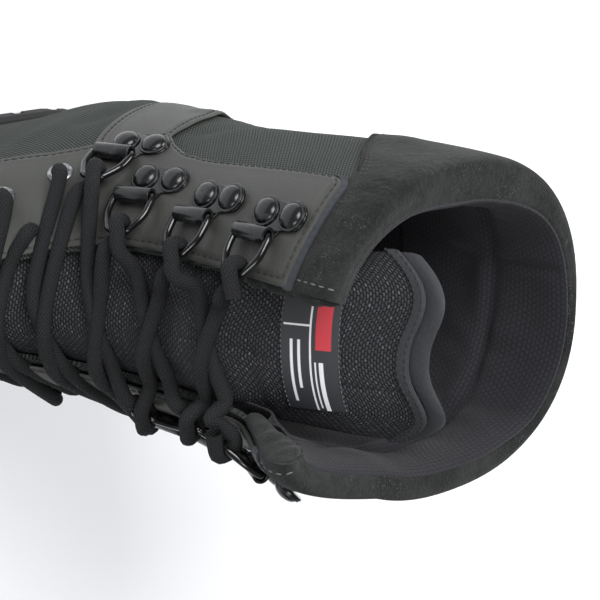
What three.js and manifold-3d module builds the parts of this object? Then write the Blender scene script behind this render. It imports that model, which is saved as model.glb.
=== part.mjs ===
// Tactical boot, right foot: toe towards -Y, lateral side -X, medial side +X, up +Z, millimetres.
// Origin: on the floor, at the middle of the heel's flat tread.
import * as THREE from 'three';
import { mergeVertices } from 'three/addons/utils/BufferGeometryUtils.js';
import Module from 'manifold-3d';

const wasm = await Module();
wasm.setup();

// Driving dimensions of sole and last
const SOLE_LENGTH = 306;
const HEEL_BACK = 40;
const BALL_WIDTH = 108;
const HEEL_STACK = 30;
const FOREFOOT_STACK = 18;
const TOE_SPRING = 9;
const ARCH_LIFT = 6;
const OUTSOLE_THICKNESS = 9;
const LUG_DEPTH = 4.5;
const LUG_PITCH = 17;
const GROOVE_WIDTH = 4.5;
const SHAFT_TOP = 231;
const SOLE_MARGIN = 14;

// Driving dimensions of walls and overlays
const GAP = 0.3;
const WALL = 2.6;
const COLLAR_WALL = 5.5;
const OVERLAY = 1.4;
const BAND_OVERLAY = 1.1;
const CUFF_THICKNESS = 3.2;
const CUFF_INNER = 1.6;
const CUFF_RISE = 3;
const INSOLE_THICKNESS = 4;
const FACET = 0.5;

// Driving dimensions of throat and tongue
const THROAT_HALF_TOP = 22.5;
const THROAT_HALF_FOOT = 11;
const TONGUE_THICKNESS = 5;
const TONGUE_LEAN = 26;
const TONGUE_SIDE_LAP = 8;
const TONGUE_TOP_LAP = 5;
const MEDIAL_FLARE = 18;
const SHAFT_LEAN = 7;
const LABEL_WIDTH = 16;
const LABEL_THICKNESS = 0.7;

// Driving dimensions of the lacing hardware
const RING_PITCH = 28;
const RING_EDGE = 11.5;
const TOP_RING_BELOW_RIM = 30;
const LOW_RING_SETBACK = 12;
const TUBE_LENGTH = 13.5;
const TUBE_DIAMETER = 5.4;
const WIRE_DIAMETER = 2.4;
const LOOP_DEPTH = 15;
const PLATE_REACH = 12.5;
const PLATE_THICKNESS = 1;
const PLATE_SKEW = 5;
const RIVET_DIAMETER = 10;
const RIVET_HEIGHT = 2.4;
const RIVET_PITCH = 11;
const EYELET_PITCH = 19;
const EYELET_START = 17;
const EYELET_EDGE_TOP = 22;
const EYELET_EDGE_FOOT = 9;
const EYELET_DIAMETER = 9;
const EYELET_HOLE = 4.8;
const EYELET_HEIGHT = 1.4;
const LACE_DIAMETER = 4.7;
const LACE_SIDES = 6;
const WIRE_SIDES = 6;

// Driving dimensions of the side zip
const ZIP_ANGLE = 112;
const ZIP_TAPE_WIDTH = 20;
const ZIP_TAPE_THICKNESS = 0.8;
const ZIP_CHAIN_WIDTH = 6;
const ZIP_CHAIN_HEIGHT = 1.4;
const SLIDER_WIDTH = 9;
const SLIDER_LENGTH = 12;
const SLIDER_HEIGHT = 1.6;
const BRIDGE_WIDTH = 2.6;
const BRIDGE_HEIGHT = 4.2;
const PULL_WIDTH = 8.6;
const PULL_LENGTH = 26;
const PULL_THICKNESS = 1.5;

const rad = THREE.MathUtils.degToRad;
const lerp = THREE.MathUtils.lerp;
const smooth = THREE.MathUtils.smoothstep;
const vec = (x, y, z) => new THREE.Vector3(x, y, z);

// Straight reading of a table that has an "at" column
function readTable(table, column, at) {
  const next = table.findIndex((row) => row.at >= at);
  if (next === 0) return table[0][column];
  if (next < 0) return table[table.length - 1][column];
  const a = table[next - 1];
  const b = table[next];
  return lerp(a[column], b[column], (at - a.at) / (b.at - a.at));
}

// Sole profile: at = share of the sole's length from the heel's back
const TREAD = [
  { at: 0.00, arch: 0.00, spring: 0.30 },
  { at: 0.035, arch: 0.00, spring: 0.00 },
  { at: 0.27, arch: 0.00, spring: 0.00 },
  { at: 0.295, arch: 1.00, spring: 0.00 },
  { at: 0.43, arch: 0.85, spring: 0.00 },
  { at: 0.48, arch: 0.00, spring: 0.00 },
  { at: 0.78, arch: 0.00, spring: 0.00 },
  { at: 0.86, arch: 0.00, spring: 0.25 },
  { at: 0.93, arch: 0.00, spring: 0.60 },
  { at: 1.00, arch: 0.00, spring: 1.20 },
];
const FEATHER = [
  { at: 0.00, heel: 1.04, spring: 0.00 },
  { at: 0.10, heel: 1.00, spring: 0.00 },
  { at: 0.27, heel: 0.95, spring: 0.00 },
  { at: 0.44, heel: 0.56, spring: 0.00 },
  { at: 0.58, heel: 0.18, spring: 0.00 },
  { at: 0.72, heel: 0.00, spring: 0.00 },
  { at: 0.84, heel: 0.00, spring: 0.22 },
  { at: 0.93, heel: 0.00, spring: 0.55 },
  { at: 1.00, heel: 0.00, spring: 0.95 },
];

// Sole outline: lateral and medial are shares of the ball width, shift is the centre line's
const OUTLINE = [
  { at: 0.00, lateral: 0.325, medial: 0.325, shift: 0.00 },
  { at: 0.12, lateral: 0.345, medial: 0.345, shift: 0.00 },
  { at: 0.27, lateral: 0.355, medial: 0.335, shift: 0.00 },
  { at: 0.40, lateral: 0.392, medial: 0.340, shift: 0.00 },
  { at: 0.54, lateral: 0.460, medial: 0.390, shift: 0.00 },
  { at: 0.68, lateral: 0.500, medial: 0.450, shift: 0.01 },
  { at: 0.78, lateral: 0.490, medial: 0.480, shift: 0.03 },
  { at: 0.88, lateral: 0.440, medial: 0.480, shift: 0.06 },
  { at: 1.00, lateral: 0.350, medial: 0.460, shift: 0.10 },
];
const HEEL_ROUND = 0.13;
const TOE_ROUND = 0.26;
const ROUND_POWER = 2.2;

const shareAt = (y) => (HEEL_BACK - y) / SOLE_LENGTH;
const placeAt = (share) => HEEL_BACK - share * SOLE_LENGTH;

function treadHeight(y) {
  const at = shareAt(y);
  return readTable(TREAD, 'arch', at) * ARCH_LIFT + readTable(TREAD, 'spring', at) * TOE_SPRING;
}

function featherHeight(y) {
  const at = shareAt(y);
  const rise = readTable(FEATHER, 'heel', at) * (HEEL_STACK - FOREFOOT_STACK);
  return FOREFOOT_STACK + rise + readTable(FEATHER, 'spring', at) * TOE_SPRING;
}

// Lateral and medial edge of the sole at a share of its length, drawn in by an inset
function soleEdges(at, inset) {
  const shift = readTable(OUTLINE, 'shift', at) * BALL_WIDTH;
  const heel = Math.max(0, 1 - at / HEEL_ROUND);
  const toe = Math.max(0, 1 - (1 - at) / TOE_ROUND);
  const full = (1 - Math.max(heel, toe) ** ROUND_POWER) ** (1 / ROUND_POWER);
  const lateral = readTable(OUTLINE, 'lateral', at) * BALL_WIDTH - inset;
  const medial = readTable(OUTLINE, 'medial', at) * BALL_WIDTH - inset;
  return {
    y: placeAt(at) + inset * (toe - heel),
    left: shift - (lateral + shift) * full,
    right: shift + (medial - shift) * full,
  };
}

// Shares of the length at which the sole's solids have a section, close together at both ends
const SOLE_STATIONS = [
  0.002, 0.010, 0.022, 0.040, 0.065, 0.095, 0.13, 0.20, 0.27, 0.295, 0.36, 0.43, 0.48, 0.54,
  0.61, 0.68, 0.74, 0.78, 0.82, 0.86, 0.895, 0.93, 0.955, 0.975, 0.989, 0.998,
];

// Closed mesh from rings of equal length, with flat fans on both ends
function ringSolid(rings) {
  const count = rings[0].length;
  const positions = rings.flat().flatMap((p) => [p.x, p.y, p.z]);
  const index = [];
  for (let i = 0; i < rings.length - 1; i += 1) {
    for (let j = 0; j < count; j += 1) {
      const a = i * count + j;
      const b = i * count + ((j + 1) % count);
      index.push(a, b, b + count, a, b + count, a + count);
    }
  }
  const last = (rings.length - 1) * count;
  for (let j = 1; j < count - 1; j += 1) {
    index.push(0, j + 1, j);
    index.push(last, last + j, last + j + 1);
  }
  return closedSolid(positions, index);
}

// A solid from positions and triangles, turned so that its faces point out
function closedSolid(positions, index) {
  let volume = 0;
  const at = (i) => vec(positions[3 * i], positions[3 * i + 1], positions[3 * i + 2]);
  for (let i = 0; i < index.length; i += 3) {
    volume += at(index[i]).dot(at(index[i + 1]).cross(at(index[i + 2])));
  }
  const faces = volume < 0 ? index.slice().reverse() : index;
  const mesh = new wasm.Mesh({
    numProp: 3,
    vertProperties: new Float32Array(positions),
    triVerts: new Uint32Array(faces),
  });
  return new wasm.Manifold(mesh);
}

function solidFromGeometry(geometry) {
  const bare = geometry.clone();
  bare.deleteAttribute('normal');
  bare.deleteAttribute('uv');
  const merged = mergeVertices(bare.index ? bare.toNonIndexed() : bare, 1e-4);
  return closedSolid(Array.from(merged.attributes.position.array), Array.from(merged.index.array));
}

function geometryFromSolid(solid) {
  const mesh = solid.getMesh();
  const positions = [];
  for (let i = 0; i < mesh.numVert; i += 1) {
    positions.push(...mesh.vertProperties.slice(i * mesh.numProp, i * mesh.numProp + 3));
  }
  const geometry = new THREE.BufferGeometry();
  geometry.setAttribute('position', new THREE.Float32BufferAttribute(positions, 3));
  geometry.setIndex(Array.from(mesh.triVerts));
  return geometry;
}

// Sections of the upper: each lies in a plane that holds X and the line from a front point to a
// back point. frontY and backY are shares of the sole's length from the heel's back, frontZ and
// backZ shares of the height from the feather line to the shaft's top. lateral, medial and shift
// are shares of the ball width, widest is the widest place's share of the way from front to back,
// frontPower and backPower say how square the two halves are.
const SECTION_COLUMNS = [
  'frontY', 'frontZ', 'backY', 'backZ', 'lateral', 'medial', 'shift', 'widest', 'frontPower',
  'backPower',
];
const SECTION_ROWS = [
  [0.345, 1.108, -0.028, 1.108, 0.495, 0.462, 0.000, 0.52, 2.3, 2.3],
  [0.350, 1.000, -0.020, 1.000, 0.503, 0.468, 0.000, 0.52, 2.3, 2.3],
  [0.353, 0.889, -0.010, 0.888, 0.508, 0.470, 0.000, 0.52, 2.3, 2.3],
  [0.356, 0.778, 0.002, 0.762, 0.497, 0.454, 0.000, 0.52, 2.3, 2.3],
  [0.361, 0.676, 0.018, 0.625, 0.485, 0.430, 0.000, 0.53, 2.2, 2.3],
  [0.376, 0.585, 0.032, 0.480, 0.482, 0.412, 0.000, 0.55, 2.1, 2.3],
  [0.405, 0.510, 0.034, 0.343, 0.482, 0.398, 0.000, 0.58, 2.0, 2.3],
  [0.448, 0.453, 0.022, 0.216, 0.486, 0.384, 0.000, 0.61, 2.0, 2.3],
  [0.500, 0.405, 0.010, 0.098, 0.472, 0.366, 0.000, 0.63, 2.0, 2.4],
  [0.556, 0.365, 0.018, 0.000, 0.440, 0.345, 0.000, 0.65, 2.0, 2.7],
  [0.608, 0.331, 0.114, 0.000, 0.412, 0.325, 0.000, 0.66, 2.0, 3.2],
  [0.663, 0.297, 0.278, 0.000, 0.408, 0.325, 0.000, 0.66, 2.0, 3.5],
  [0.719, 0.265, 0.431, 0.000, 0.436, 0.361, 0.000, 0.66, 2.0, 3.6],
  [0.778, 0.236, 0.582, 0.000, 0.454, 0.398, 0.005, 0.66, 2.1, 3.6],
  [0.837, 0.208, 0.712, 0.000, 0.452, 0.408, 0.020, 0.66, 2.2, 3.6],
  [0.900, 0.170, 0.830, 0.000, 0.405, 0.388, 0.045, 0.66, 2.3, 3.4],
  [0.950, 0.122, 0.916, 0.000, 0.300, 0.310, 0.070, 0.65, 2.3, 3.0],
  [0.977, 0.072, 0.962, 0.004, 0.150, 0.165, 0.090, 0.62, 2.2, 2.6],
];
const SECTIONS = SECTION_ROWS.map((row) => (
  Object.fromEntries(row.map((value, k) => [SECTION_COLUMNS[k], value]))
));
const RIM = 1;
const TOE_END = SECTIONS.length - 1;

// Smooth reading of a column of the sections at any place between the rows
function section(column, s) {
  const i = Math.min(Math.floor(s), TOE_END - 1);
  const t = s - i;
  const value = (k) => SECTIONS[THREE.MathUtils.clamp(k, 0, TOE_END)][column];
  const before = i > 0 ? value(i - 1) : 2 * value(0) - value(1);
  const after = i + 2 <= TOE_END ? value(i + 2) : 2 * value(TOE_END) - value(TOE_END - 1);
  const b = value(i);
  const c = value(i + 1);
  const slope = (c - before) / 2;
  const slopeNext = (after - b) / 2;
  const bend = 3 * (c - b) - 2 * slope - slopeNext;
  const twist = 2 * (b - c) + slope + slopeNext;
  return b + t * (slope + t * (bend + t * twist));
}

function heightAt(y, share) {
  const foot = featherHeight(y) + GAP;
  return foot + share * (SHAFT_TOP - foot);
}

// Point on the last's form: angle 0 at the front or top, positive on the lateral side
function lastPoint(s, angle) {
  const frontY = placeAt(section('frontY', s));
  const backY = placeAt(section('backY', s));
  const front = vec(0, frontY, heightAt(frontY, section('frontZ', s)));
  const back = vec(0, backY, heightAt(backY, section('backZ', s)));
  const widest = section('widest', s);
  const towardsFront = Math.cos(angle) >= 0;
  const power = section(towardsFront ? 'frontPower' : 'backPower', s);
  const along = Math.abs(Math.cos(angle)) ** (2 / power);
  const share = towardsFront ? widest * (1 - along) : widest + (1 - widest) * along;
  const side = Math.sin(angle) >= 0 ? -section('lateral', s) : section('medial', s);
  const across = side * Math.abs(Math.sin(angle)) ** (2 / power);
  const point = front.lerp(back, share);
  point.x = (section('shift', s) + across) * BALL_WIDTH;
  point.y += SHAFT_LEAN * (1 - smooth(s, RIM + 1, RIM + 8));
  return point;
}

// Point on the upper's outside: the slack collar's medial corner stands forward of the last
function surfacePoint(s, angle) {
  const point = lastPoint(s, angle);
  const turn = THREE.MathUtils.euclideanModulo(-angle, 2 * Math.PI);
  const corner = Math.max(0, Math.sin(3 * Math.min(turn, Math.PI / 3)));
  point.y -= MEDIAL_FLARE * corner * (1 - smooth(s, RIM, RIM + 1.8));
  return point;
}

function surfaceNormal(s, angle) {
  const ds = 0.02;
  const da = rad(2);
  const low = Math.max(0, s - ds);
  const high = Math.min(TOE_END, s + ds);
  const along = surfacePoint(high, angle).sub(surfacePoint(low, angle));
  const round = surfacePoint(s, angle + da).sub(surfacePoint(s, angle - da));
  const normal = along.cross(round).normalize();
  const middle = surfacePoint(s, 0).add(surfacePoint(s, Math.PI)).multiplyScalar(0.5);
  const outward = surfacePoint(s, angle).sub(middle).dot(normal);
  return outward < 0 ? normal.negate() : normal;
}

function raised(s, angle, offset) {
  return surfacePoint(s, angle).addScaledVector(surfaceNormal(s, angle), offset);
}

const wallAt = (s) => lerp(COLLAR_WALL, WALL, smooth(s, RIM + 0.8, RIM + 2.5));

// Angle at which the section is a given distance to one side of its middle
function angleAt(s, distance) {
  const half = section(distance >= 0 ? 'lateral' : 'medial', s) * BALL_WIDTH;
  const share = Math.min(0.98, Math.abs(distance) / half);
  return Math.sign(distance) * Math.asin(share ** (section('frontPower', s) / 2));
}

// Angle that a width in millimetres takes at a place on the surface
function angleFor(s, angle, width) {
  const step = rad(2);
  const length = surfacePoint(s, angle + step).distanceTo(surfacePoint(s, angle - step));
  return width * 2 * step / length;
}

const SHELL_SECTIONS = 20;
const SHELL_ROUND = 24;

// Whole form of the upper, its surface moved in or out by offset(s)
function shellSolid(from, offset, sections = SHELL_SECTIONS) {
  const rings = [];
  for (let i = 0; i <= sections; i += 1) {
    const s = lerp(from, TOE_END, i / sections);
    const ring = [];
    for (let j = 0; j < SHELL_ROUND; j += 1) {
      ring.push(raised(s, 2 * Math.PI * j / SHELL_ROUND, offset(s)));
    }
    rings.push(ring);
  }
  return ringSolid(rings);
}

// Closed sheet between an inner and an outer face, each given by a function of two shares
function sheetSolid(rows, columns, outer, inner) {
  const positions = [];
  const index = [];
  const width = columns + 1;
  const layer = (rows + 1) * width;
  for (const face of [outer, inner]) {
    for (let i = 0; i <= rows; i += 1) {
      for (let j = 0; j <= columns; j += 1) {
        positions.push(...face(i / rows, j / columns).toArray());
      }
    }
  }
  for (let i = 0; i < rows; i += 1) {
    for (let j = 0; j < columns; j += 1) {
      const a = i * width + j;
      const b = a + 1;
      const c = b + width;
      const d = a + width;
      index.push(a, b, c, a, c, d);
      index.push(layer + a, layer + c, layer + b, layer + a, layer + d, layer + c);
    }
  }
  const rim = [];
  for (let j = 0; j < columns; j += 1) rim.push(j);
  for (let i = 0; i < rows; i += 1) rim.push(i * width + columns);
  for (let j = columns; j > 0; j -= 1) rim.push(rows * width + j);
  for (let i = rows; i > 0; i -= 1) rim.push(i * width);
  rim.forEach((a, k) => {
    const b = rim[(k + 1) % rim.length];
    index.push(a, layer + a, layer + b, a, layer + b, b);
  });
  return closedSolid(positions, index);
}

// Overlay on the upper: from and to give s by the share across, low and high the angle by s
function panelSolid({ from, to, low, high, under, over, rows, columns }) {
  const face = (offset) => (u, v) => {
    const s = lerp(from(v), to(v), u);
    return raised(s, lerp(low(s), high(s), v), offset(s));
  };
  return sheetSolid(rows, columns, face(over), face(under));
}

// Half width of the throat, widest at the rim and round at its foot
const THROAT_FOOT = 10.4;
function throatHalf(s) {
  const width = lerp(THROAT_HALF_TOP, THROAT_HALF_FOOT, smooth(s, RIM + 3.5, THROAT_FOOT - 1));
  const end = Math.max(0, 1 - (THROAT_FOOT - s) / 0.7);
  return width * Math.sqrt(Math.max(0, 1 - end * end));
}

// Solid block of one layer of the sole: insets and heights of its side from bottom to top
function soleLayer(side) {
  const rings = SOLE_STATIONS.map((at) => {
    const left = side.map(({ inset, height }) => {
      const edge = soleEdges(at, inset);
      return vec(edge.left, edge.y, height(edge.y));
    });
    const right = side.map(({ inset, height }) => {
      const edge = soleEdges(at, inset);
      return vec(edge.right, edge.y, height(edge.y));
    });
    return [...left, ...right.reverse()];
  });
  return ringSolid(rings);
}

const outsoleTop = (y) => Math.min(treadHeight(y) + OUTSOLE_THICKNESS, featherHeight(y) - 4);

// Everything below the line where the upper meets the sole
function belowFeather() {
  const wide = -20;
  return soleLayer([
    { inset: wide, height: (y) => featherHeight(y) - HEEL_STACK },
    { inset: wide, height: (y) => featherHeight(y) + GAP },
  ]);
}

function boxAt(width, depth, height, centre, turn = 0) {
  const box = new THREE.BoxGeometry(width, depth, height);
  box.rotateZ(turn);
  box.translate(centre.x, centre.y, centre.z);
  return solidFromGeometry(box);
}

function makeOutsole() {
  const chamfer = 1.5;
  let body = soleLayer([
    { inset: chamfer, height: treadHeight },
    { inset: 0, height: (y) => treadHeight(y) + chamfer },
    { inset: 0, height: (y) => outsoleTop(y) - chamfer },
    { inset: chamfer, height: outsoleTop },
  ]);
  const heelEnd = 0.25;
  const frontStart = 0.50;
  const island = 11;
  const reach = BALL_WIDTH / 2;
  const zones = [[0.055, heelEnd], [frontStart, 0.97]];
  for (const [start, end] of zones) {
    const count = Math.floor((end - start) * SOLE_LENGTH / LUG_PITCH);
    for (let k = 0; k <= count; k += 1) {
      const y = placeAt(start) - k * LUG_PITCH;
      for (const side of [-1, 1]) {
        const middle = vec(side * (island + reach / 2), y, treadHeight(y) + (LUG_DEPTH - reach) / 2);
        body = body.subtract(boxAt(reach, GROOVE_WIDTH, LUG_DEPTH + reach, middle, side * rad(12)));
      }
      if (k < count && start > heelEnd) {
        const between = y - LUG_PITCH / 2;
        const middle = vec(0, between, treadHeight(between) + (LUG_DEPTH - reach) / 2);
        body = body.subtract(boxAt(island * 1.5, GROOVE_WIDTH, LUG_DEPTH + reach, middle));
      }
    }
  }
  return body;
}

function makeMidsole() {
  const foot = (y) => outsoleTop(y) + GAP;
  const between = (share) => (y) => lerp(foot(y), featherHeight(y), share);
  return soleLayer([
    { inset: 2.5, height: foot },
    { inset: 2.0, height: between(0.35) },
    { inset: 3.6, height: between(0.48) },
    { inset: 2.6, height: between(0.62) },
    { inset: 4.2, height: featherHeight },
  ]);
}

function makeUpper() {
  const outer = shellSolid(RIM, () => 0);
  const inner = shellSolid(0, (s) => -wallAt(s));
  const throat = panelSolid({
    from: () => 0,
    to: () => THROAT_FOOT,
    low: (s) => angleAt(s, -throatHalf(s)),
    high: (s) => angleAt(s, throatHalf(s)),
    under: () => -3 * COLLAR_WALL,
    over: () => COLLAR_WALL,
    rows: 16,
    columns: 2,
  });
  const opening = soleLayer([
    { inset: SOLE_MARGIN, height: (y) => featherHeight(y) - WALL },
    { inset: SOLE_MARGIN, height: (y) => featherHeight(y) + 2 * WALL },
  ]);
  return outer.subtract(inner).subtract(throat).subtract(opening).subtract(belowFeather());
}

function makeInsole() {
  const foot = (y) => featherHeight(y) + WALL + 2 * GAP;
  const slab = soleLayer([
    { inset: 0, height: foot },
    { inset: 0, height: (y) => foot(y) + INSOLE_THICKNESS },
  ]);
  return shellSolid(0, (s) => -wallAt(s) - GAP).intersect(slab);
}

// Tongue: under the facings, leaning into the shaft towards its wavy top edge
const TONGUE_TOP = 0.18;
const TONGUE_FOOT = THROAT_FOOT + 0.35;
const tongueTop = (v) => TONGUE_TOP + 0.1 * Math.cos(4 * Math.PI * (v - 0.5)) + 0.45 * (2 * v - 1) ** 4;
const tongueDepth = (s) => wallAt(s) + GAP + 1.2 * FACET;

function tonguePoint(s, angle, offset) {
  const lean = TONGUE_LEAN * (1 - smooth(s, TONGUE_TOP, RIM + 2.6)) ** 1.5;
  const straight = surfaceNormal(s, 0);
  const point = lastPoint(s, angle).addScaledVector(surfaceNormal(s, angle), offset - tongueDepth(s));
  return point.addScaledVector(straight, -lean);
}

function tongueSheet({ from, to, low, high, under, over, rows, columns }) {
  const face = (offset) => (u, v) => {
    const s = lerp(from(v), to(v), u);
    return tonguePoint(s, lerp(low(s), high(s), v), offset);
  };
  return sheetSolid(rows, columns, face(over), face(under));
}

function makeTongue() {
  const lap = (s) => TONGUE_SIDE_LAP + TONGUE_TOP_LAP * (1 - smooth(s, RIM, RIM + 1.6));
  const half = (s) => throatHalf(Math.min(s, THROAT_FOOT - 0.6)) + lap(s);
  return tongueSheet({
    from: tongueTop,
    to: () => TONGUE_FOOT,
    low: (s) => angleAt(s, -half(s)),
    high: (s) => angleAt(s, half(s)),
    under: -TONGUE_THICKNESS,
    over: 0,
    rows: 13,
    columns: 6,
  });
}

// The label is a narrow band that runs across the tongue
function makeLabel() {
  const at = RIM + 0.9;
  const half = LABEL_WIDTH / 2 / surfacePoint(at, 0).distanceTo(surfacePoint(at + 1, 0));
  const skin = GAP + FACET;
  return tongueSheet({
    from: () => at - half,
    to: () => at + half,
    low: (s) => angleAt(s, -0.98 * THROAT_HALF_TOP),
    high: (s) => angleAt(s, 0.96 * THROAT_HALF_TOP),
    under: skin,
    over: skin + LABEL_THICKNESS,
    rows: 2,
    columns: 6,
  });
}

// Facings: from just outside the throat's edge back to an angle that depends on the height
const FACING_BACK = [
  { at: 0, angle: 65 },
  { at: 4.5, angle: 64 },
  { at: 5.15, angle: 69 },
  { at: 5.5, angle: 74 },
  { at: 6.4, angle: 64 },
  { at: 7.2, angle: 58 },
  { at: 8.4, angle: 55 },
  { at: 11.3, angle: 44 },
];
const FACING_TOP = 1.55;
const FACING_DROP = 0.12;
const FACING_FOOT = THROAT_FOOT - 0.9;
const overlayUnder = () => GAP + FACET;
const overlayOver = () => GAP + FACET + OVERLAY;

function makeFacing(side) {
  const edge = (s) => side * Math.abs(angleAt(s, side * (throatHalf(s) + 0.8)));
  const back = (s) => side * rad(readTable(FACING_BACK, 'angle', s));
  return panelSolid({
    from: (v) => FACING_TOP + FACING_DROP * v,
    to: () => FACING_FOOT,
    low: edge,
    high: back,
    under: () => overlayUnder() + FACET / 4,
    over: overlayOver,
    rows: 17,
    columns: 4,
  });
}

// Ankle band: from the facing round the side to the heel counter
function makeAnkleBand(side) {
  const start = (s) => side * rad(readTable(FACING_BACK, 'angle', s) + 1.2);
  const atZip = (s) => zipAngle(s) + angleFor(s, zipAngle(s), ZIP_TAPE_WIDTH / 2 + 1);
  return panelSolid({
    from: (v) => lerp(5.35, 6, v),
    to: (v) => lerp(6.5, 7.25, Math.sqrt(v)),
    low: start,
    high: side > 0 ? () => rad(COUNTER_FRONT - 1.2) : atZip,
    under: overlayUnder,
    over: () => overlayUnder() + BAND_OVERLAY,
    rows: 3,
    columns: 8,
  });
}

// Heel counter: round the back of the heel, up to the ankle
const COUNTER_FRONT = 128;
const COUNTER_TOP = 4.6;
const COUNTER_FOOT = 8.8;

function makeHeelCounter() {
  return panelSolid({
    from: (v) => lerp(COUNTER_TOP, COUNTER_TOP + 0.9, (2 * v - 1) ** 2),
    to: () => COUNTER_FOOT,
    low: () => rad(COUNTER_FRONT),
    high: () => rad(360 - COUNTER_FRONT),
    under: () => overlayUnder() + FACET / 2,
    over: overlayOver,
    rows: 7,
    columns: 10,
  }).subtract(belowFeather());
}

// Toe cap: over the toes, open underneath, from one of the shell's own sections
const CAP_SECTIONS = 4;
const CAP_BACK = lerp(TOE_END, RIM, CAP_SECTIONS / SHELL_SECTIONS);

function makeToeCap() {
  const skin = overlayUnder();
  const outer = shellSolid(CAP_BACK, overlayOver, CAP_SECTIONS);
  const back = CAP_BACK - (TOE_END - CAP_BACK) / CAP_SECTIONS;
  const inner = shellSolid(back, () => skin, CAP_SECTIONS + 1);
  return outer.subtract(inner).subtract(belowFeather());
}

// Collar cuff: folded over the rim, outside and inside, open at the throat, lower at the back
const CUFF_DIP = 0.75;
const CUFF_LATERAL_DIP = 0.35;

function makeCuff() {
  const edge = (s) => angleAt(s, throatHalf(s) + 0.8);
  const around = (s) => 2 * Math.PI - Math.abs(angleAt(s, -throatHalf(s) - 0.8));
  const rise = CUFF_RISE / surfacePoint(0, 0).distanceTo(surfacePoint(RIM, 0));
  const side = (v) => Math.min(v, 1 - v);
  const beside = (v) => FACING_TOP - 0.06 + FACING_DROP * Math.min(1, side(v) / 0.13);
  const outside = (v) => CUFF_LATERAL_DIP * smooth(v, 0.135, 0.25) * (1 - smooth(v, 0.4, 0.6));
  const lower = (v) => beside(v) + CUFF_DIP * smooth(side(v), 0.135, 0.26) + outside(v);
  const inside = (v) => lerp(RIM, lower(v), 0.8);
  const outerSkin = GAP + 2.7 * FACET;
  const innerSkin = (s) => -wallAt(s) - GAP - 3.8 * FACET;
  const fold = (rows) => (u, v) => {
    const row = rows[Math.round(u * (rows.length - 1))];
    const s = row.s(v);
    return raised(s, lerp(edge(s), around(s), v), row.offset(s));
  };
  const rim = () => RIM - rise;
  const seat = () => RIM - rise * 3 * GAP / CUFF_RISE;
  const middle = (v) => lerp(RIM, lower(v), 0.45);
  const outer = [
    { s: lower, offset: () => outerSkin + CUFF_THICKNESS * 0.5 },
    { s: middle, offset: () => outerSkin + CUFF_THICKNESS },
    { s: rim, offset: () => outerSkin + CUFF_THICKNESS * 0.3 },
    { s: rim, offset: (s) => innerSkin(s) - CUFF_INNER * 0.3 },
    { s: inside, offset: (s) => innerSkin(s) - CUFF_INNER },
  ];
  const inner = [
    { s: lower, offset: () => outerSkin },
    { s: middle, offset: () => outerSkin },
    { s: seat, offset: () => outerSkin },
    { s: seat, offset: innerSkin },
    { s: inside, offset: innerSkin },
  ];
  return sheetSolid(outer.length - 1, 22, fold(outer), fold(inner));
}

// Frame on the surface: X up towards the collar, Z outwards, Y away from the throat on the
// lateral side and towards it on the medial side
function surfaceFrame(s, angle, offset) {
  const normal = surfaceNormal(s, angle);
  const up = surfacePoint(s - 0.05, angle).sub(surfacePoint(s + 0.05, angle));
  up.addScaledVector(normal, -up.dot(normal)).normalize();
  const matrix = new THREE.Matrix4();
  matrix.makeBasis(up, normal.clone().cross(up), normal);
  matrix.setPosition(raised(s, angle, offset));
  return matrix;
}

// Each ring from the top one down: travel in ring pitches, and share of the lowest ring's setback
const RINGS = [
  { travel: 0, setback: 0 },
  { travel: 1, setback: 0 },
  { travel: 2, setback: 0.14 },
  { travel: 2.68, setback: 1 },
];
// Each eyelet below the rings: travel in eyelet pitches, and how far its edge has come in
const EYELETS = [
  { travel: 0, inward: 0 },
  { travel: 0.84, inward: 0.28 },
  { travel: 1.84, inward: 0.64 },
  { travel: 2.90, inward: 1 },
];
// The top medial plate stands off the hollow beside the flared corner
const TOP_MEDIAL_LIFT = 0.6;

// Places of the rings and eyelets: distance from the throat's edge and travel down the facing
function facingPlaces(side) {
  const edgeAngle = (s, edge) => side * Math.abs(angleAt(s, side * (throatHalf(s) + edge)));
  const path = (s) => surfacePoint(s, edgeAngle(s, RING_EDGE));
  const travelTo = (wanted) => {
    let s = RIM;
    let travel = 0;
    const step = 0.01;
    while (travel < wanted) {
      travel += path(s).distanceTo(path(s + step));
      s += step;
    }
    return s;
  };
  const places = [];
  for (const ring of RINGS) {
    const s = travelTo(TOP_RING_BELOW_RIM + ring.travel * RING_PITCH);
    const lift = side < 0 && ring === RINGS[0] ? TOP_MEDIAL_LIFT : 0;
    places.push({ kind: 'ring', s, lift, edge: RING_EDGE + ring.setback * LOW_RING_SETBACK });
  }
  const start = TOP_RING_BELOW_RIM + RINGS.at(-1).travel * RING_PITCH + EYELET_START;
  for (const eyelet of EYELETS) {
    const edge = lerp(EYELET_EDGE_TOP, EYELET_EDGE_FOOT, eyelet.inward);
    places.push({ kind: 'eyelet', s: travelTo(start + eyelet.travel * EYELET_PITCH), lift: 0, edge });
  }
  return places.map((place) => ({ ...place, angle: edgeAngle(place.s, place.edge) }));
}

const onFacing = 2 * GAP + FACET + OVERLAY;
const tubeHeight = PLATE_THICKNESS + TUBE_DIAMETER / 2 - 0.6;

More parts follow.
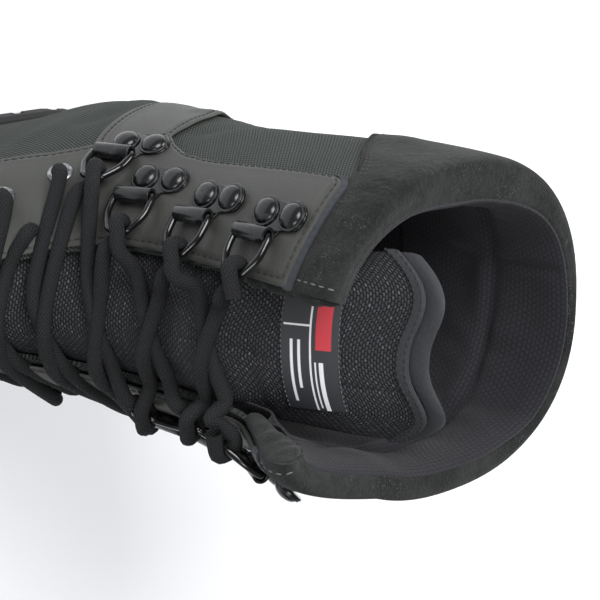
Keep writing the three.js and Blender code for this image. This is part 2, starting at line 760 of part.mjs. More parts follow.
// Plate of a lacing ring: rolled tube, slanted plate and two domed rivets
function ringPlateGeometry(side) {
  const outline = new THREE.Shape();
  const half = TUBE_LENGTH / 2;
  outline.moveTo(-half, 0);
  outline.lineTo(half, 0);
  outline.lineTo(half + PLATE_SKEW, PLATE_REACH * 0.6);
  outline.lineTo(half + PLATE_SKEW - 2, PLATE_REACH);
  outline.lineTo(-half + PLATE_SKEW + 2, PLATE_REACH);
  outline.lineTo(-half + PLATE_SKEW, PLATE_REACH * 0.6);
  const plate = new THREE.ExtrudeGeometry(outline, { depth: PLATE_THICKNESS, bevelEnabled: false });
  let body = solidFromGeometry(plate);
  const tube = new THREE.CylinderGeometry(TUBE_DIAMETER / 2, TUBE_DIAMETER / 2, TUBE_LENGTH, 8);
  tube.rotateZ(Math.PI / 2);
  tube.translate(0, 0, tubeHeight);
  body = body.add(solidFromGeometry(tube));
  for (const k of [-0.5, 0.5]) {
    const rivet = new THREE.LatheGeometry([
      new THREE.Vector2(0, -PLATE_THICKNESS / 2),
      new THREE.Vector2(RIVET_DIAMETER / 2, -PLATE_THICKNESS / 2),
      new THREE.Vector2(RIVET_DIAMETER / 2, RIVET_HEIGHT * 0.4),
      new THREE.Vector2(RIVET_DIAMETER * 0.28, RIVET_HEIGHT),
      new THREE.Vector2(0, RIVET_HEIGHT),
    ], 8);
    rivet.rotateX(Math.PI / 2);
    rivet.translate(k * RIVET_PITCH + PLATE_SKEW, PLATE_REACH * 0.64, PLATE_THICKNESS);
    body = body.add(solidFromGeometry(rivet));
  }
  const boreRadius = WIRE_DIAMETER / 2 + GAP;
  const bore = new THREE.CylinderGeometry(boreRadius, boreRadius, 2 * TUBE_LENGTH, 8);
  bore.rotateZ(Math.PI / 2);
  bore.translate(0, 0, tubeHeight);
  body = body.subtract(solidFromGeometry(bore));
  return sidedGeometry(body, side);
}

// Wire of a lacing ring: straight in the tube, then a bow towards the throat
function ringLoopGeometry(side) {
  const half = TUBE_LENGTH / 2 + WIRE_DIAMETER / 2 + GAP;
  const corner = WIRE_DIAMETER / 2 + GAP / 2;
  const bow = LOOP_DEPTH - WIRE_DIAMETER / 2;
  const points = [
    vec(-half + corner, 0, 0), vec(half - corner, 0, 0),
    vec(half, -corner, 0), vec(half - 0.6, -bow * 0.6, 0.4),
    vec(half * 0.5, -bow, 0.9), vec(-half * 0.5, -bow, 0.9),
    vec(-half + 0.6, -bow * 0.6, 0.4), vec(-half, -corner, 0),
  ];
  points.forEach((p) => p.setZ(p.z + tubeHeight));
  return sidedGeometry(tubeSolid(points, WIRE_DIAMETER / 2, WIRE_SIDES, true), side);
}

// The medial side's hardware is the mirror of the lateral side's
function sidedGeometry(solid, side) {
  const geometry = geometryFromSolid(solid);
  geometry.scale(1, side, 1);
  return geometryFromSolid(solidFromGeometry(geometry));
}

// Tube through points with straight stretches between them, mitred at each point
function tubeSolid(points, radius, sides, closed) {
  const count = points.length;
  const rings = points.map((p, i) => {
    const before = closed ? points[(i + count - 1) % count] : points[Math.max(0, i - 1)];
    const after = closed ? points[(i + 1) % count] : points[Math.min(count - 1, i + 1)];
    const into = p.clone().sub(before);
    const out = after.clone().sub(p);
    if (into.lengthSq() === 0) into.copy(out);
    if (out.lengthSq() === 0) out.copy(into);
    into.normalize();
    out.normalize();
    return { p, into, tangent: into.clone().add(out).normalize() };
  });
  let reference = vec(0, 0, 1);
  if (Math.abs(rings[0].tangent.z) > 0.9) reference = vec(0, 1, 0);
  const loops = rings.map(({ p, into, tangent }) => {
    const sideways = reference.clone().cross(tangent).normalize();
    const upwards = tangent.clone().cross(sideways).normalize();
    reference = upwards.clone();
    const stretch = Math.min(1.6, 1 / Math.max(0.5, into.dot(tangent)));
    const bend = into.clone().addScaledVector(tangent, -into.dot(tangent));
    if (bend.lengthSq() > 1e-8) bend.normalize();
    const loop = [];
    for (let j = 0; j < sides; j += 1) {
      const turn = 2 * Math.PI * (j + 0.5) / sides;
      const arm = sideways.clone().multiplyScalar(Math.cos(turn));
      arm.addScaledVector(upwards, Math.sin(turn));
      arm.addScaledVector(bend, arm.dot(bend) * (stretch - 1));
      loop.push(p.clone().addScaledVector(arm, radius));
    }
    return loop;
  });
  if (!closed) return ringSolid(loops);
  return closedTube(loops);
}

function closedTube(loops) {
  const sides = loops[0].length;
  const positions = loops.flat().flatMap((p) => [p.x, p.y, p.z]);
  const index = [];
  loops.forEach((loop, i) => {
    const next = (i + 1) % loops.length;
    for (let j = 0; j < sides; j += 1) {
      const a = i * sides + j;
      const b = i * sides + ((j + 1) % sides);
      const c = next * sides + ((j + 1) % sides);
      const d = next * sides + j;
      index.push(a, b, c, a, c, d);
    }
  });
  return closedSolid(positions, index);
}

function eyeletGeometry() {
  const hole = EYELET_HOLE / 2;
  const edge = EYELET_DIAMETER / 2;
  const eyelet = new THREE.LatheGeometry([
    new THREE.Vector2(hole, 0),
    new THREE.Vector2(edge, 0),
    new THREE.Vector2(edge - 0.4, EYELET_HEIGHT * 0.7),
    new THREE.Vector2(hole, EYELET_HEIGHT),
    new THREE.Vector2(hole, 0),
  ], 8);
  eyelet.rotateX(Math.PI / 2);
  return geometryFromSolid(solidFromGeometry(eyelet));
}

// Place on the surface where the lace turns at a ring or an eyelet
function laceAnchor(place) {
  const side = Math.sign(place.angle);
  const frame = surfaceFrame(place.s, place.angle, onFacing);
  const clear = LACE_DIAMETER / 2 + 0.7;
  const local = place.kind === 'ring'
    ? vec(0, side * (-LOOP_DEPTH - clear), tubeHeight + 1)
    : vec(0, -side * EYELET_DIAMETER * 0.2, EYELET_HEIGHT + clear);
  return local.applyMatrix4(frame);
}

// Lace: crossings from side to side over the tongue, joined where they meet
function makeLace(lateral, medial) {
  const clear = LACE_DIAMETER / 2 + onFacing;
  const overEdge = (near, far, from) => {
    if (near.kind === 'ring' && near.edge < 2 * RING_EDGE) return [];
    const side = Math.sign(near.angle);
    const over = (share, out) => {
      const s = lerp(near.s, far.s, share);
      const width = throatHalf(s) + out * (near.edge - EYELET_DIAMETER / 2);
      return raised(s, angleAt(s, side * width), clear + 1);
    };
    if (near.edge < 1.5 * EYELET_DIAMETER) return [over(0.22, 0)];
    return near === from ? [over(0.1, 0.6), over(0.22, 0)] : [over(0.22, 0), over(0.1, 0.6)];
  };
  const bar = (from, to) => [
    ...overEdge(from, to, from),
    raised((from.s + to.s) / 2, 0, clear),
    ...overEdge(to, from, from),
  ];
  const strand = (first, second) => {
    const stops = first.map((place, k) => (k % 2 ? second[k] : place));
    const points = stops.flatMap((stop, k) => {
      const crossing = k > 0 ? bar(stops[k - 1], stop) : [];
      return [...crossing, laceAnchor(stop)];
    });
    return tubeSolid(points, LACE_DIAMETER / 2, LACE_SIDES, false);
  };
  const left = lateral[lateral.length - 1];
  const right = medial[medial.length - 1];
  const across = [laceAnchor(left), ...bar(left, right), laceAnchor(right)];
  const foot = tubeSolid(across, LACE_DIAMETER / 2, LACE_SIDES, false);
  return strand(lateral, medial).add(strand(medial, lateral)).add(foot);
}

// Zip: a tape on the medial side with its chain on it
const ZIP_TOP = FACING_TOP + 0.85;
const ZIP_FOOT = 7.6;
const zipAngle = (s) => -rad(ZIP_ANGLE - 8 * smooth(s, 4, ZIP_FOOT));

function zipStrip(width, under, over, from, to, rows) {
  const centre = zipAngle;
  return panelSolid({
    from: () => from,
    to: () => to,
    low: (s) => centre(s) - angleFor(s, centre(s), width / 2),
    high: (s) => centre(s) + angleFor(s, centre(s), width / 2),
    under: () => under,
    over: () => over,
    rows,
    columns: 2,
  });
}

const zipTapeTop = GAP + FACET + ZIP_TAPE_THICKNESS;
const zipChainTop = zipTapeTop + GAP + ZIP_CHAIN_HEIGHT;

// Zip slider: body with a bridge along it, standing on the chain
const bridgeBar = 1.1;
const pullPivot = SLIDER_HEIGHT + (BRIDGE_HEIGHT - bridgeBar) / 2;

function sliderGeometry() {
  const body = boxAt(SLIDER_LENGTH, SLIDER_WIDTH, SLIDER_HEIGHT, vec(0, 0, SLIDER_HEIGHT / 2));
  const height = BRIDGE_HEIGHT + 0.2;
  const length = SLIDER_LENGTH * 0.75;
  const bridge = boxAt(length, BRIDGE_WIDTH, height, vec(0, 0, SLIDER_HEIGHT + height / 2 - 0.2));
  const hole = BRIDGE_HEIGHT - bridgeBar;
  const window = boxAt(length - 2.4, 2 * BRIDGE_WIDTH, hole, vec(0, 0, SLIDER_HEIGHT + hole / 2));
  return geometryFromSolid(body.add(bridge).subtract(window));
}

// Pull tab: cross bar under the bridge, frame round it and a tab that hangs down
function pullGeometry() {
  const frameLength = 10;
  const arm = 1.7;
  const bar = PULL_THICKNESS;
  const middle = vec((bar - frameLength) / 2, 0, 0);
  const frame = boxAt(frameLength, PULL_WIDTH, bar, middle);
  const window = boxAt(frameLength - 2 * bar, PULL_WIDTH - 2 * arm, 2 * bar, middle);
  const tabLength = PULL_LENGTH - frameLength + 0.5;
  const tab = boxAt(tabLength, PULL_WIDTH - 1.4, bar, vec((bar - PULL_LENGTH - frameLength) / 2, 0, 0));
  return geometryFromSolid(frame.subtract(window).add(tab));
}

function material(color, roughness, metalness = 0) {
  return new THREE.MeshStandardMaterial({ color, roughness, metalness });
}

const FINISH = {
  rubber: material(0x1b1b1c, 0.85),
  foam: material(0x222223, 0.9),
  mesh: material(0x202122, 0.95),
  leather: material(0x2b2b2a, 0.5),
  suede: material(0x1f2021, 1),
  lining: material(0x2a2728, 1),
  label: material(0x303236, 0.5),
  metal: material(0x111112, 0.25, 0.6),
  eyelet: material(0x55585c, 0.35, 0.9),
  lace: material(0x1d1e20, 0.8),
};

const boot = new THREE.Group();

function addPiece(name, geometry, finish, matrix) {
  const flat = geometry.index ? geometry.toNonIndexed() : geometry;
  flat.computeVertexNormals();
  const mesh = new THREE.Mesh(flat, finish);
  mesh.name = name;
  if (matrix) mesh.applyMatrix4(matrix);
  boot.add(mesh);
  return mesh;
}

const addSolid = (name, solid, finish) => addPiece(name, geometryFromSolid(solid), finish);

addSolid('outsole', makeOutsole(), FINISH.rubber);
addSolid('midsole', makeMidsole(), FINISH.foam);
addSolid('upper', makeUpper(), FINISH.mesh);
addSolid('insole', makeInsole(), FINISH.lining);
addSolid('tongue', makeTongue(), FINISH.mesh);
addSolid('tongue_label', makeLabel(), FINISH.label);
addSolid('toe_cap', makeToeCap(), FINISH.leather);
addSolid('heel_counter', makeHeelCounter(), FINISH.leather);
addSolid('collar_cuff', makeCuff(), FINISH.suede);

const SIDES = [['lateral', 1], ['medial', -1]];
const places = {};
for (const [name, side] of SIDES) {
  addSolid(`facing_${name}`, makeFacing(side), FINISH.leather);
  addSolid(`ankle_band_${name}`, makeAnkleBand(side), FINISH.leather);
  places[name] = facingPlaces(side);
  let ring = 0;
  let eyelet = 0;
  for (const place of places[name]) {
    const frame = surfaceFrame(place.s, place.angle, onFacing + place.lift);
    if (place.kind === 'ring') {
      ring += 1;
      addPiece(`ring_plate_${name}_${ring}`, ringPlateGeometry(side), FINISH.metal, frame);
      addPiece(`ring_loop_${name}_${ring}`, ringLoopGeometry(side), FINISH.metal, frame);
    } else {
      eyelet += 1;
      addPiece(`eyelet_${name}_${eyelet}`, eyeletGeometry(), FINISH.eyelet, frame);
    }
  }
}
addSolid('lace', makeLace(places.lateral, places.medial), FINISH.lace);

const tape = zipStrip(ZIP_TAPE_WIDTH, GAP + FACET, zipTapeTop, ZIP_TOP, ZIP_FOOT, 12);
const chainUnder = zipTapeTop + GAP;
const chain = zipStrip(ZIP_CHAIN_WIDTH, chainUnder, zipChainTop, ZIP_TOP + 0.1, ZIP_FOOT - 0.1, 12);
addSolid('zip_tape', tape, FINISH.mesh);
addSolid('zip_chain', chain, FINISH.metal);

const sliderAt = ZIP_TOP + 0.5;
const sliderFrame = surfaceFrame(sliderAt, zipAngle(sliderAt), zipChainTop + GAP);
addPiece('zip_slider', sliderGeometry(), FINISH.metal, sliderFrame);
const pullFrame = sliderFrame.clone().multiply(new THREE.Matrix4().makeTranslation(0, 0, pullPivot));
addPiece('zip_pull', pullGeometry(), FINISH.metal, pullFrame);

export default boot;
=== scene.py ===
"""Tactical boot, right foot: leather, suede, mesh, knit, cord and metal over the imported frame.

Toe towards -Y, lateral side -X, medial side +X, up +Z. The makers' sizes below are in
millimetres and become metres where a mesh is made.
"""
import math

import bpy
import numpy as np
from bpy.props import FloatProperty, FloatVectorProperty, PointerProperty
from mathutils import Matrix, Vector


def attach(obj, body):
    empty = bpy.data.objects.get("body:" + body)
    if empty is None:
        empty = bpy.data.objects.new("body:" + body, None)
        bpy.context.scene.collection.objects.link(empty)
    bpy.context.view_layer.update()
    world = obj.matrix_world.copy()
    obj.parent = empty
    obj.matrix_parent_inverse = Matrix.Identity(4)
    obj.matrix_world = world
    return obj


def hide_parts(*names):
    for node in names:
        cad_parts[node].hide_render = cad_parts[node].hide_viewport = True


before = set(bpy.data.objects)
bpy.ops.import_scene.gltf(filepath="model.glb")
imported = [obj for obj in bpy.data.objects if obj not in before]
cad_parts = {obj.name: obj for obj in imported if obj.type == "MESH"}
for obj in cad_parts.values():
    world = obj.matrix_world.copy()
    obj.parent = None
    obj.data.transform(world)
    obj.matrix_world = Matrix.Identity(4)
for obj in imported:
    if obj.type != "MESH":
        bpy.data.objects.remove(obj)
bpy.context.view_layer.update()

bl_info = {
    "name": "Tactical boot",
    "version": (1, 0, 0),
    "blender": (4, 5, 0),
    "location": "View3D > Sidebar > Boot",
    "description": "Dresses the frame of a tactical boot: panels, lining, laces, rings, zip and sole",
    "category": "Object",
}

MM = 0.001
BODY = "boot"
PULL_BODY = "zip_pull"
SIDES = (("lateral", 1), ("medial", -1))

# Sizes of sole and last
SOLE_LENGTH = 306.0
HEEL_BACK = 40.0
BALL_WIDTH = 108.0
HEEL_STACK = 30.0
FOREFOOT_STACK = 18.0
TOE_SPRING = 9.0
SHAFT_TOP = 231.0
MEDIAL_FLARE = 18.0
SHAFT_LEAN = 7.0
GAP = 0.3
SKIN = 0.8

# Sizes of walls and overlays
WALL = 2.6
COLLAR_WALL = 5.5
LEATHER = 1.5
BAND_LEATHER = 1.2
THROAT_HALF_TOP = 22.5
THROAT_HALF_FOOT = 11.0
RIM = 1.0
THROAT_FOOT = 10.4
FACING_TOP = 1.55
FACING_DROP = 0.12
CUFF_DIP = 0.75
CUFF_LATERAL_DIP = 0.35
COUNTER_FRONT = 128.0
COUNTER_TOP = 4.6
COUNTER_FOOT = 8.8
TONGUE_TOP = 0.18
TONGUE_LEAN = 26.0

# Sizes of the lacing hardware
RING_EDGE = 11.5
TOP_RING_BELOW_RIM = 30.0
RING_TRAVEL = (0.0, 28.0, 56.0, 75.04)
RING_SETBACK = (0.0, 0.0, 1.68, 12.0)
EYELET_TRAVEL = (92.04, 108.0, 127.0, 147.1)
EYELET_EDGES = (22.0, 18.36, 13.68, 9.0)
TUBE_LENGTH = 13.5
TUBE_DIAMETER = 5.4
WIRE_DIAMETER = 2.4
LOOP_DEPTH = 15.0
PLATE_SKEW = 5.0
RIVET_DIAMETER = 10.0
RIVET_PITCH = 11.0
RIVET_REACH = 8.0
LACE_DIAMETER = 5.0
ON_FACING = 2 * GAP + 0.5 + 1.4
TUBE_HEIGHT = 1.0 + TUBE_DIAMETER / 2 - 0.6

# Sizes of the zip
ZIP_ANGLE = 112.0
ZIP_TOP = FACING_TOP + 0.85
ZIP_FOOT = 7.6

TREAD_AT = (0.00, 0.10, 0.27, 0.44, 0.58, 0.72, 0.84, 0.93, 1.00)
FEATHER_HEEL = (1.04, 1.00, 0.95, 0.56, 0.18, 0.00, 0.00, 0.00, 0.00)
FEATHER_SPRING = (0.00, 0.00, 0.00, 0.00, 0.00, 0.00, 0.22, 0.55, 0.95)

# Sections of the upper, as shares: see the columns
SECTION_COLUMNS = (
    "frontY", "frontZ", "backY", "backZ", "lateral", "medial", "shift", "widest", "frontPower",
    "backPower",
)
SECTION_ROWS = (
    (0.345, 1.108, -0.028, 1.108, 0.495, 0.462, 0.000, 0.52, 2.3, 2.3),
    (0.350, 1.000, -0.020, 1.000, 0.503, 0.468, 0.000, 0.52, 2.3, 2.3),
    (0.353, 0.889, -0.010, 0.888, 0.508, 0.470, 0.000, 0.52, 2.3, 2.3),
    (0.356, 0.778, 0.002, 0.762, 0.497, 0.454, 0.000, 0.52, 2.3, 2.3),
    (0.361, 0.676, 0.018, 0.625, 0.485, 0.430, 0.000, 0.53, 2.2, 2.3),
    (0.376, 0.585, 0.032, 0.480, 0.482, 0.412, 0.000, 0.55, 2.1, 2.3),
    (0.405, 0.510, 0.034, 0.343, 0.482, 0.398, 0.000, 0.58, 2.0, 2.3),
    (0.448, 0.453, 0.022, 0.216, 0.486, 0.384, 0.000, 0.61, 2.0, 2.3),
    (0.500, 0.405, 0.010, 0.098, 0.472, 0.366, 0.000, 0.63, 2.0, 2.4),
    (0.556, 0.365, 0.018, 0.000, 0.440, 0.345, 0.000, 0.65, 2.0, 2.7),
    (0.608, 0.331, 0.114, 0.000, 0.412, 0.325, 0.000, 0.66, 2.0, 3.2),
    (0.663, 0.297, 0.278, 0.000, 0.408, 0.325, 0.000, 0.66, 2.0, 3.5),
    (0.719, 0.265, 0.431, 0.000, 0.436, 0.361, 0.000, 0.66, 2.0, 3.6),
    (0.778, 0.236, 0.582, 0.000, 0.454, 0.398, 0.005, 0.66, 2.1, 3.6),
    (0.837, 0.208, 0.712, 0.000, 0.452, 0.408, 0.020, 0.66, 2.2, 3.6),
    (0.900, 0.170, 0.830, 0.000, 0.405, 0.388, 0.045, 0.66, 2.3, 3.4),
    (0.950, 0.122, 0.916, 0.000, 0.300, 0.310, 0.070, 0.65, 2.3, 3.0),
    (0.977, 0.072, 0.962, 0.004, 0.150, 0.165, 0.090, 0.62, 2.2, 2.6),
)
SECTIONS = dict(zip(SECTION_COLUMNS, np.array(SECTION_ROWS).T))
TOE_END = len(SECTION_ROWS) - 1

FACING_BACK_AT = (0.0, 4.3, 4.8, 5.15, 5.5, 5.9, 6.4, 6.8, 7.2, 8.4, 11.3)
FACING_BACK = (65.0, 63.5, 65.0, 69.0, 75.0, 72.0, 64.5, 60.5, 58.0, 55.0, 44.0)

# Creases and swells of the worn-in upper: start and end as section and angle, width, height
CREASE_COLUMNS = ("s", "angle", "end_s", "end_angle", "width", "height")
CREASES = (
    (2.3, 96, 4.6, 90, 9.0, 1.3),
    (4.4, 118, 5.2, 84, 5.0, -1.3),
    (5.1, 128, 5.9, 100, 4.5, 1.0),
    (2.9, 150, 4.4, 168, 10.0, 1.0),
    (3.2, 128, 4.3, 118, 6.0, -0.9),
    (6.9, 112, 7.6, 78, 5.0, -1.1),
    (7.5, 106, 8.3, 70, 5.0, 1.0),
    (4.6, -150, 5.4, -92, 5.0, -1.3),
    (5.5, -140, 6.1, -96, 5.0, 1.0),
    (2.8, -150, 4.0, -165, 10.0, 1.0),
    (6.9, -104, 7.7, -72, 5.0, -1.0),
    (11.6, 62, 12.2, 24, 5.0, -0.8),
    (12.5, 70, 13.0, 20, 4.5, -1.2),
    (12.6, -70, 13.1, -20, 4.5, -1.1),
    (12.0, 66, 12.6, 18, 4.0, 0.7),
    (12.1, -66, 12.7, -18, 4.0, 0.7),
)

SEAM_INSETS = (2.4, 4.6)  # first and second row of stitches, from a panel's edge
WELD_REACH = 0.00002

# Collar round the rim: angle from the throat over the lateral side, and how far in the suede goes
COLLAR_AT = (24.0, 47.0, 70.0, 90.0, 110.0, 125.0, 143.0, 155.0, 170.0, 185.0, 230.0, 247.0, 275.0, 336.0)
COLLAR_IN = (7.6, 8.0, 8.8, 11.4, 11.6, 10.2, 7.4, 5.8, 4.6, 3.6, 3.6, 5.6, 6.6, 6.6)


def smooth(x, low, high):
    """Soft step from 0 at low to 1 at high."""
    t = np.clip((np.asarray(x, float) - low) / (high - low), 0, 1)
    return t * t * (3 - 2 * t)


def level(value):
    """An edge that keeps one value all along."""
    return lambda along: value + along * 0


def hump(away, width):
    """Bell shape: 1 in the middle, falling off over a width."""
    return np.exp(-(away / width) ** 2)


def travelled(points):
    """Distance along a line of points, from 0 at its start."""
    return np.concatenate(([0], np.cumsum(np.linalg.norm(np.diff(points, axis=0), axis=1))))


def spline(a, b, c, d, t):
    """Smooth curve from b to c, t from 0 to 1, with a before them and d after."""
    bend = 2 * a - 5 * b + 4 * c - d
    return 0.5 * (2 * b + (c - a) * t + bend * t ** 2 + (3 * b - a - 3 * c + d) * t ** 3)


def toned(tint, factor):
    """A colour made darker or lighter by a factor."""
    return [channel * factor for channel in tint]


def through(points, share):
    """Smooth curve through rows of points, read at shares of its length."""
    rows = [2 * points[0] - points[1], *points, 2 * points[-1] - points[-2]]
    place = share * (len(points) - 1)
    found = []
    for at in place:
        i = min(int(at), len(points) - 2)
        found.append(spline(*rows[i:i + 4], at - i))
    return np.array(found)


def unit(vectors):
    """Vectors of length one."""
    return vectors / np.maximum(np.linalg.norm(vectors, axis=-1, keepdims=True), 1e-9)


def feather_height(y):
    """Height of the line where the upper meets the sole."""
    at = (HEEL_BACK - y) / SOLE_LENGTH
    rise = np.interp(at, TREAD_AT, FEATHER_HEEL) * (HEEL_STACK - FOREFOOT_STACK)
    return FOREFOOT_STACK + rise + np.interp(at, TREAD_AT, FEATHER_SPRING) * TOE_SPRING


def section(column, s):
    """Smooth reading of a column of the sections at any place between the rows."""
    rows = SECTIONS[column]
    padded = np.concatenate(([2 * rows[0] - rows[1]], rows, [2 * rows[-1] - rows[-2]]))
    i = np.clip(np.floor(s).astype(int), 0, TOE_END - 1)
    t = s - i
    before, here, following, after = (padded[i + k] for k in range(4))
    slope = (following - before) / 2
    slope_next = (after - here) / 2
    bend = 3 * (following - here) - 2 * slope - slope_next
    twist = 2 * (here - following) + slope + slope_next
    return here + t * (slope + t * (bend + t * twist))


def last_point(s, angle):
    """Point on the last: angle 0 at the front or top, positive on the lateral side, in radians."""
    s, angle = np.broadcast_arrays(np.asarray(s, float), np.asarray(angle, float))
    front_y = HEEL_BACK - section("frontY", s) * SOLE_LENGTH
    back_y = HEEL_BACK - section("backY", s) * SOLE_LENGTH
    front_foot = feather_height(front_y) + GAP
    back_foot = feather_height(back_y) + GAP
    front_z = front_foot + section("frontZ", s) * (SHAFT_TOP - front_foot)
    back_z = back_foot + section("backZ", s) * (SHAFT_TOP - back_foot)
    widest = section("widest", s)
    forward = np.cos(angle) >= 0
    power = np.where(forward, section("frontPower", s), section("backPower", s))
    along = np.abs(np.cos(angle)) ** (2 / power)
    share = np.where(forward, widest * (1 - along), widest + (1 - widest) * along)
    side = np.where(np.sin(angle) >= 0, -section("lateral", s), section("medial", s))
    across = side * np.abs(np.sin(angle)) ** (2 / power)
    x = (section("shift", s) + across) * BALL_WIDTH
    y = front_y + (back_y - front_y) * share + SHAFT_LEAN * (1 - smooth(s, RIM + 1, RIM + 8))
    z = front_z + (back_z - front_z) * share
    return np.stack([x, y, z], axis=-1)


def surface_point(s, angle):
    """Point on the upper's outside, with the slack collar's medial corner standing forward."""
    point = last_point(s, angle)
    turn = np.mod(-np.asarray(angle, float), 2 * math.pi)
    corner = np.maximum(0, np.sin(3 * np.minimum(turn, math.pi / 3))) ** 1.2
    point[..., 1] -= MEDIAL_FLARE * corner * (1 - smooth(s, RIM, RIM + 1.8))
    return point


def outward_normal(s, angle, place=surface_point):
    """Unit normal of a surface of the boot, pointing away from the leg."""
    s, angle = np.broadcast_arrays(np.asarray(s, float), np.asarray(angle, float))
    high = np.minimum(TOE_END, s + 0.02)
    low = np.maximum(0, s - 0.02)
    turn = math.radians(2)
    along = place(high, angle) - place(low, angle)
    across = place(s, angle + turn) - place(s, angle - turn)
    normal = unit(np.cross(along, across))
    middle = (place(s, angle * 0) + place(s, angle * 0 + math.pi)) / 2
    outward = np.sum((place(s, angle) - middle) * normal, axis=-1, keepdims=True)
    return np.where(outward < 0, -normal, normal)


def creases(s, angle):
    """Height of the listed creases and swells at a place on the surface."""
    points = surface_point(s, angle)
    total = np.zeros(points.shape[:-1])
    for row in CREASES:
        crease = dict(zip(CREASE_COLUMNS, row))
        start = surface_point(crease["s"], math.radians(crease["angle"]))
        end = surface_point(crease["end_s"], math.radians(crease["end_angle"]))
        run = end - start
        share = np.clip(np.sum((points - start) * run, axis=-1) / np.dot(run, run), 0, 1)
        away = np.linalg.norm(points - start - share[..., None] * run, axis=-1)
        total += crease["height"] * hump(away, crease["width"])
    return total


def raised(s, angle, offset):
    """Point at an offset over the creased surface."""
    offset = np.asarray(offset) + creases(s, angle)
    return surface_point(s, angle) + outward_normal(s, angle) * offset[..., None]


def wall_at(s):
    """Thickness of the padded wall."""
    return COLLAR_WALL + (WALL - COLLAR_WALL) * smooth(s, RIM + 0.8, RIM + 2.5)


def angle_at(s, distance):
    """Angle at which a section is a distance to one side of its middle."""
    s, distance = np.broadcast_arrays(np.asarray(s, float), np.asarray(distance, float))
    half = np.where(distance >= 0, section("lateral", s), section("medial", s)) * BALL_WIDTH
    share = np.minimum(0.98, np.abs(distance) / half)
    return np.sign(distance) * np.arcsin(share ** (section("frontPower", s) / 2))


def throat_half(s):
    """Half width of the throat, round at its foot."""
    share = smooth(s, RIM + 3.5, THROAT_FOOT - 1)
    width = THROAT_HALF_TOP + (THROAT_HALF_FOOT - THROAT_HALF_TOP) * share
    end = np.maximum(0, 1 - (THROAT_FOOT - np.asarray(s, float)) / 0.7)
    return width * np.sqrt(np.maximum(0, 1 - end * end))


def edge_angle(s, side, beyond=0.0):
    """Angle of the throat's edge on one side, or of a line at a distance beyond it."""
    return side * np.abs(angle_at(s, side * (throat_half(s) + beyond)))


def surface_frame(s, angle, offset):
    """Frame on the surface: X up towards the collar, Z outwards."""
    normal = outward_normal(s, angle)
    up = surface_point(s - 0.05, angle) - surface_point(s + 0.05, angle)
    up = unit(up - normal * np.dot(up, normal))
    across = np.cross(normal, up)
    origin = surface_point(s, angle) + normal * offset
    matrix = Matrix.Identity(4)
    for column, values in enumerate((up, across, normal, origin)):
        for row in range(3):
            matrix[row][column] = values[row]
    return matrix


def facing_places(side):
    """Places of a side's rings and eyelets, from the top down, as the solids have them."""
    track = np.arange(RIM, THROAT_FOOT + 1, 0.01)
    path = surface_point(track, edge_angle(track, side, RING_EDGE))
    travel = travelled(path)
    places = []
    for below, setback in zip(RING_TRAVEL, RING_SETBACK):
        s = np.interp(TOP_RING_BELOW_RIM + below, travel, track)
        places.append(("ring", s, RING_EDGE + setback))
    for below, edge in zip(EYELET_TRAVEL, EYELET_EDGES):
        places.append(("eyelet", np.interp(TOP_RING_BELOW_RIM + below, travel, track), edge))
    return [(kind, float(s), float(edge_angle(s, side, edge))) for kind, s, edge in places]


class Value:
    """A shader socket that takes part in arithmetic."""

    def __init__(self, finish, socket):
        self.finish = finish
        self.socket = socket

    def math(self, operation, *others):
        """A Math node with this value first."""
        return self.finish.node("ShaderNodeMath", {"operation": operation}, [self, *others])

    def __add__(self, other):
        return self.math("ADD", other)

    def __sub__(self, other):
        return self.math("SUBTRACT", other)

    def __mul__(self, other):
        return self.math("MULTIPLY", other)

    def __truediv__(self, other):
        return self.math("DIVIDE", other)

    def __radd__(self, other):
        return self.math("ADD", other)

    def __rmul__(self, other):
        return self.math("MULTIPLY", other)

    def __rsub__(self, other):
        return self.finish.node("ShaderNodeMath", {"operation": "SUBTRACT"}, [other, self])

    def wave(self, pitch):
        """Rounded ridges with one ridge to a pitch, from 0 to 1."""
        return (self * (math.pi / pitch)).math("SINE").math("ABSOLUTE")

    def ramp(self, low, high):
        """Soft step from 0 at low to 1 at high."""
        settings = {"interpolation_type": "SMOOTHSTEP"}
        return self.finish.node("ShaderNodeMapRange", settings, {"Value": self, 1: low, 2: high})


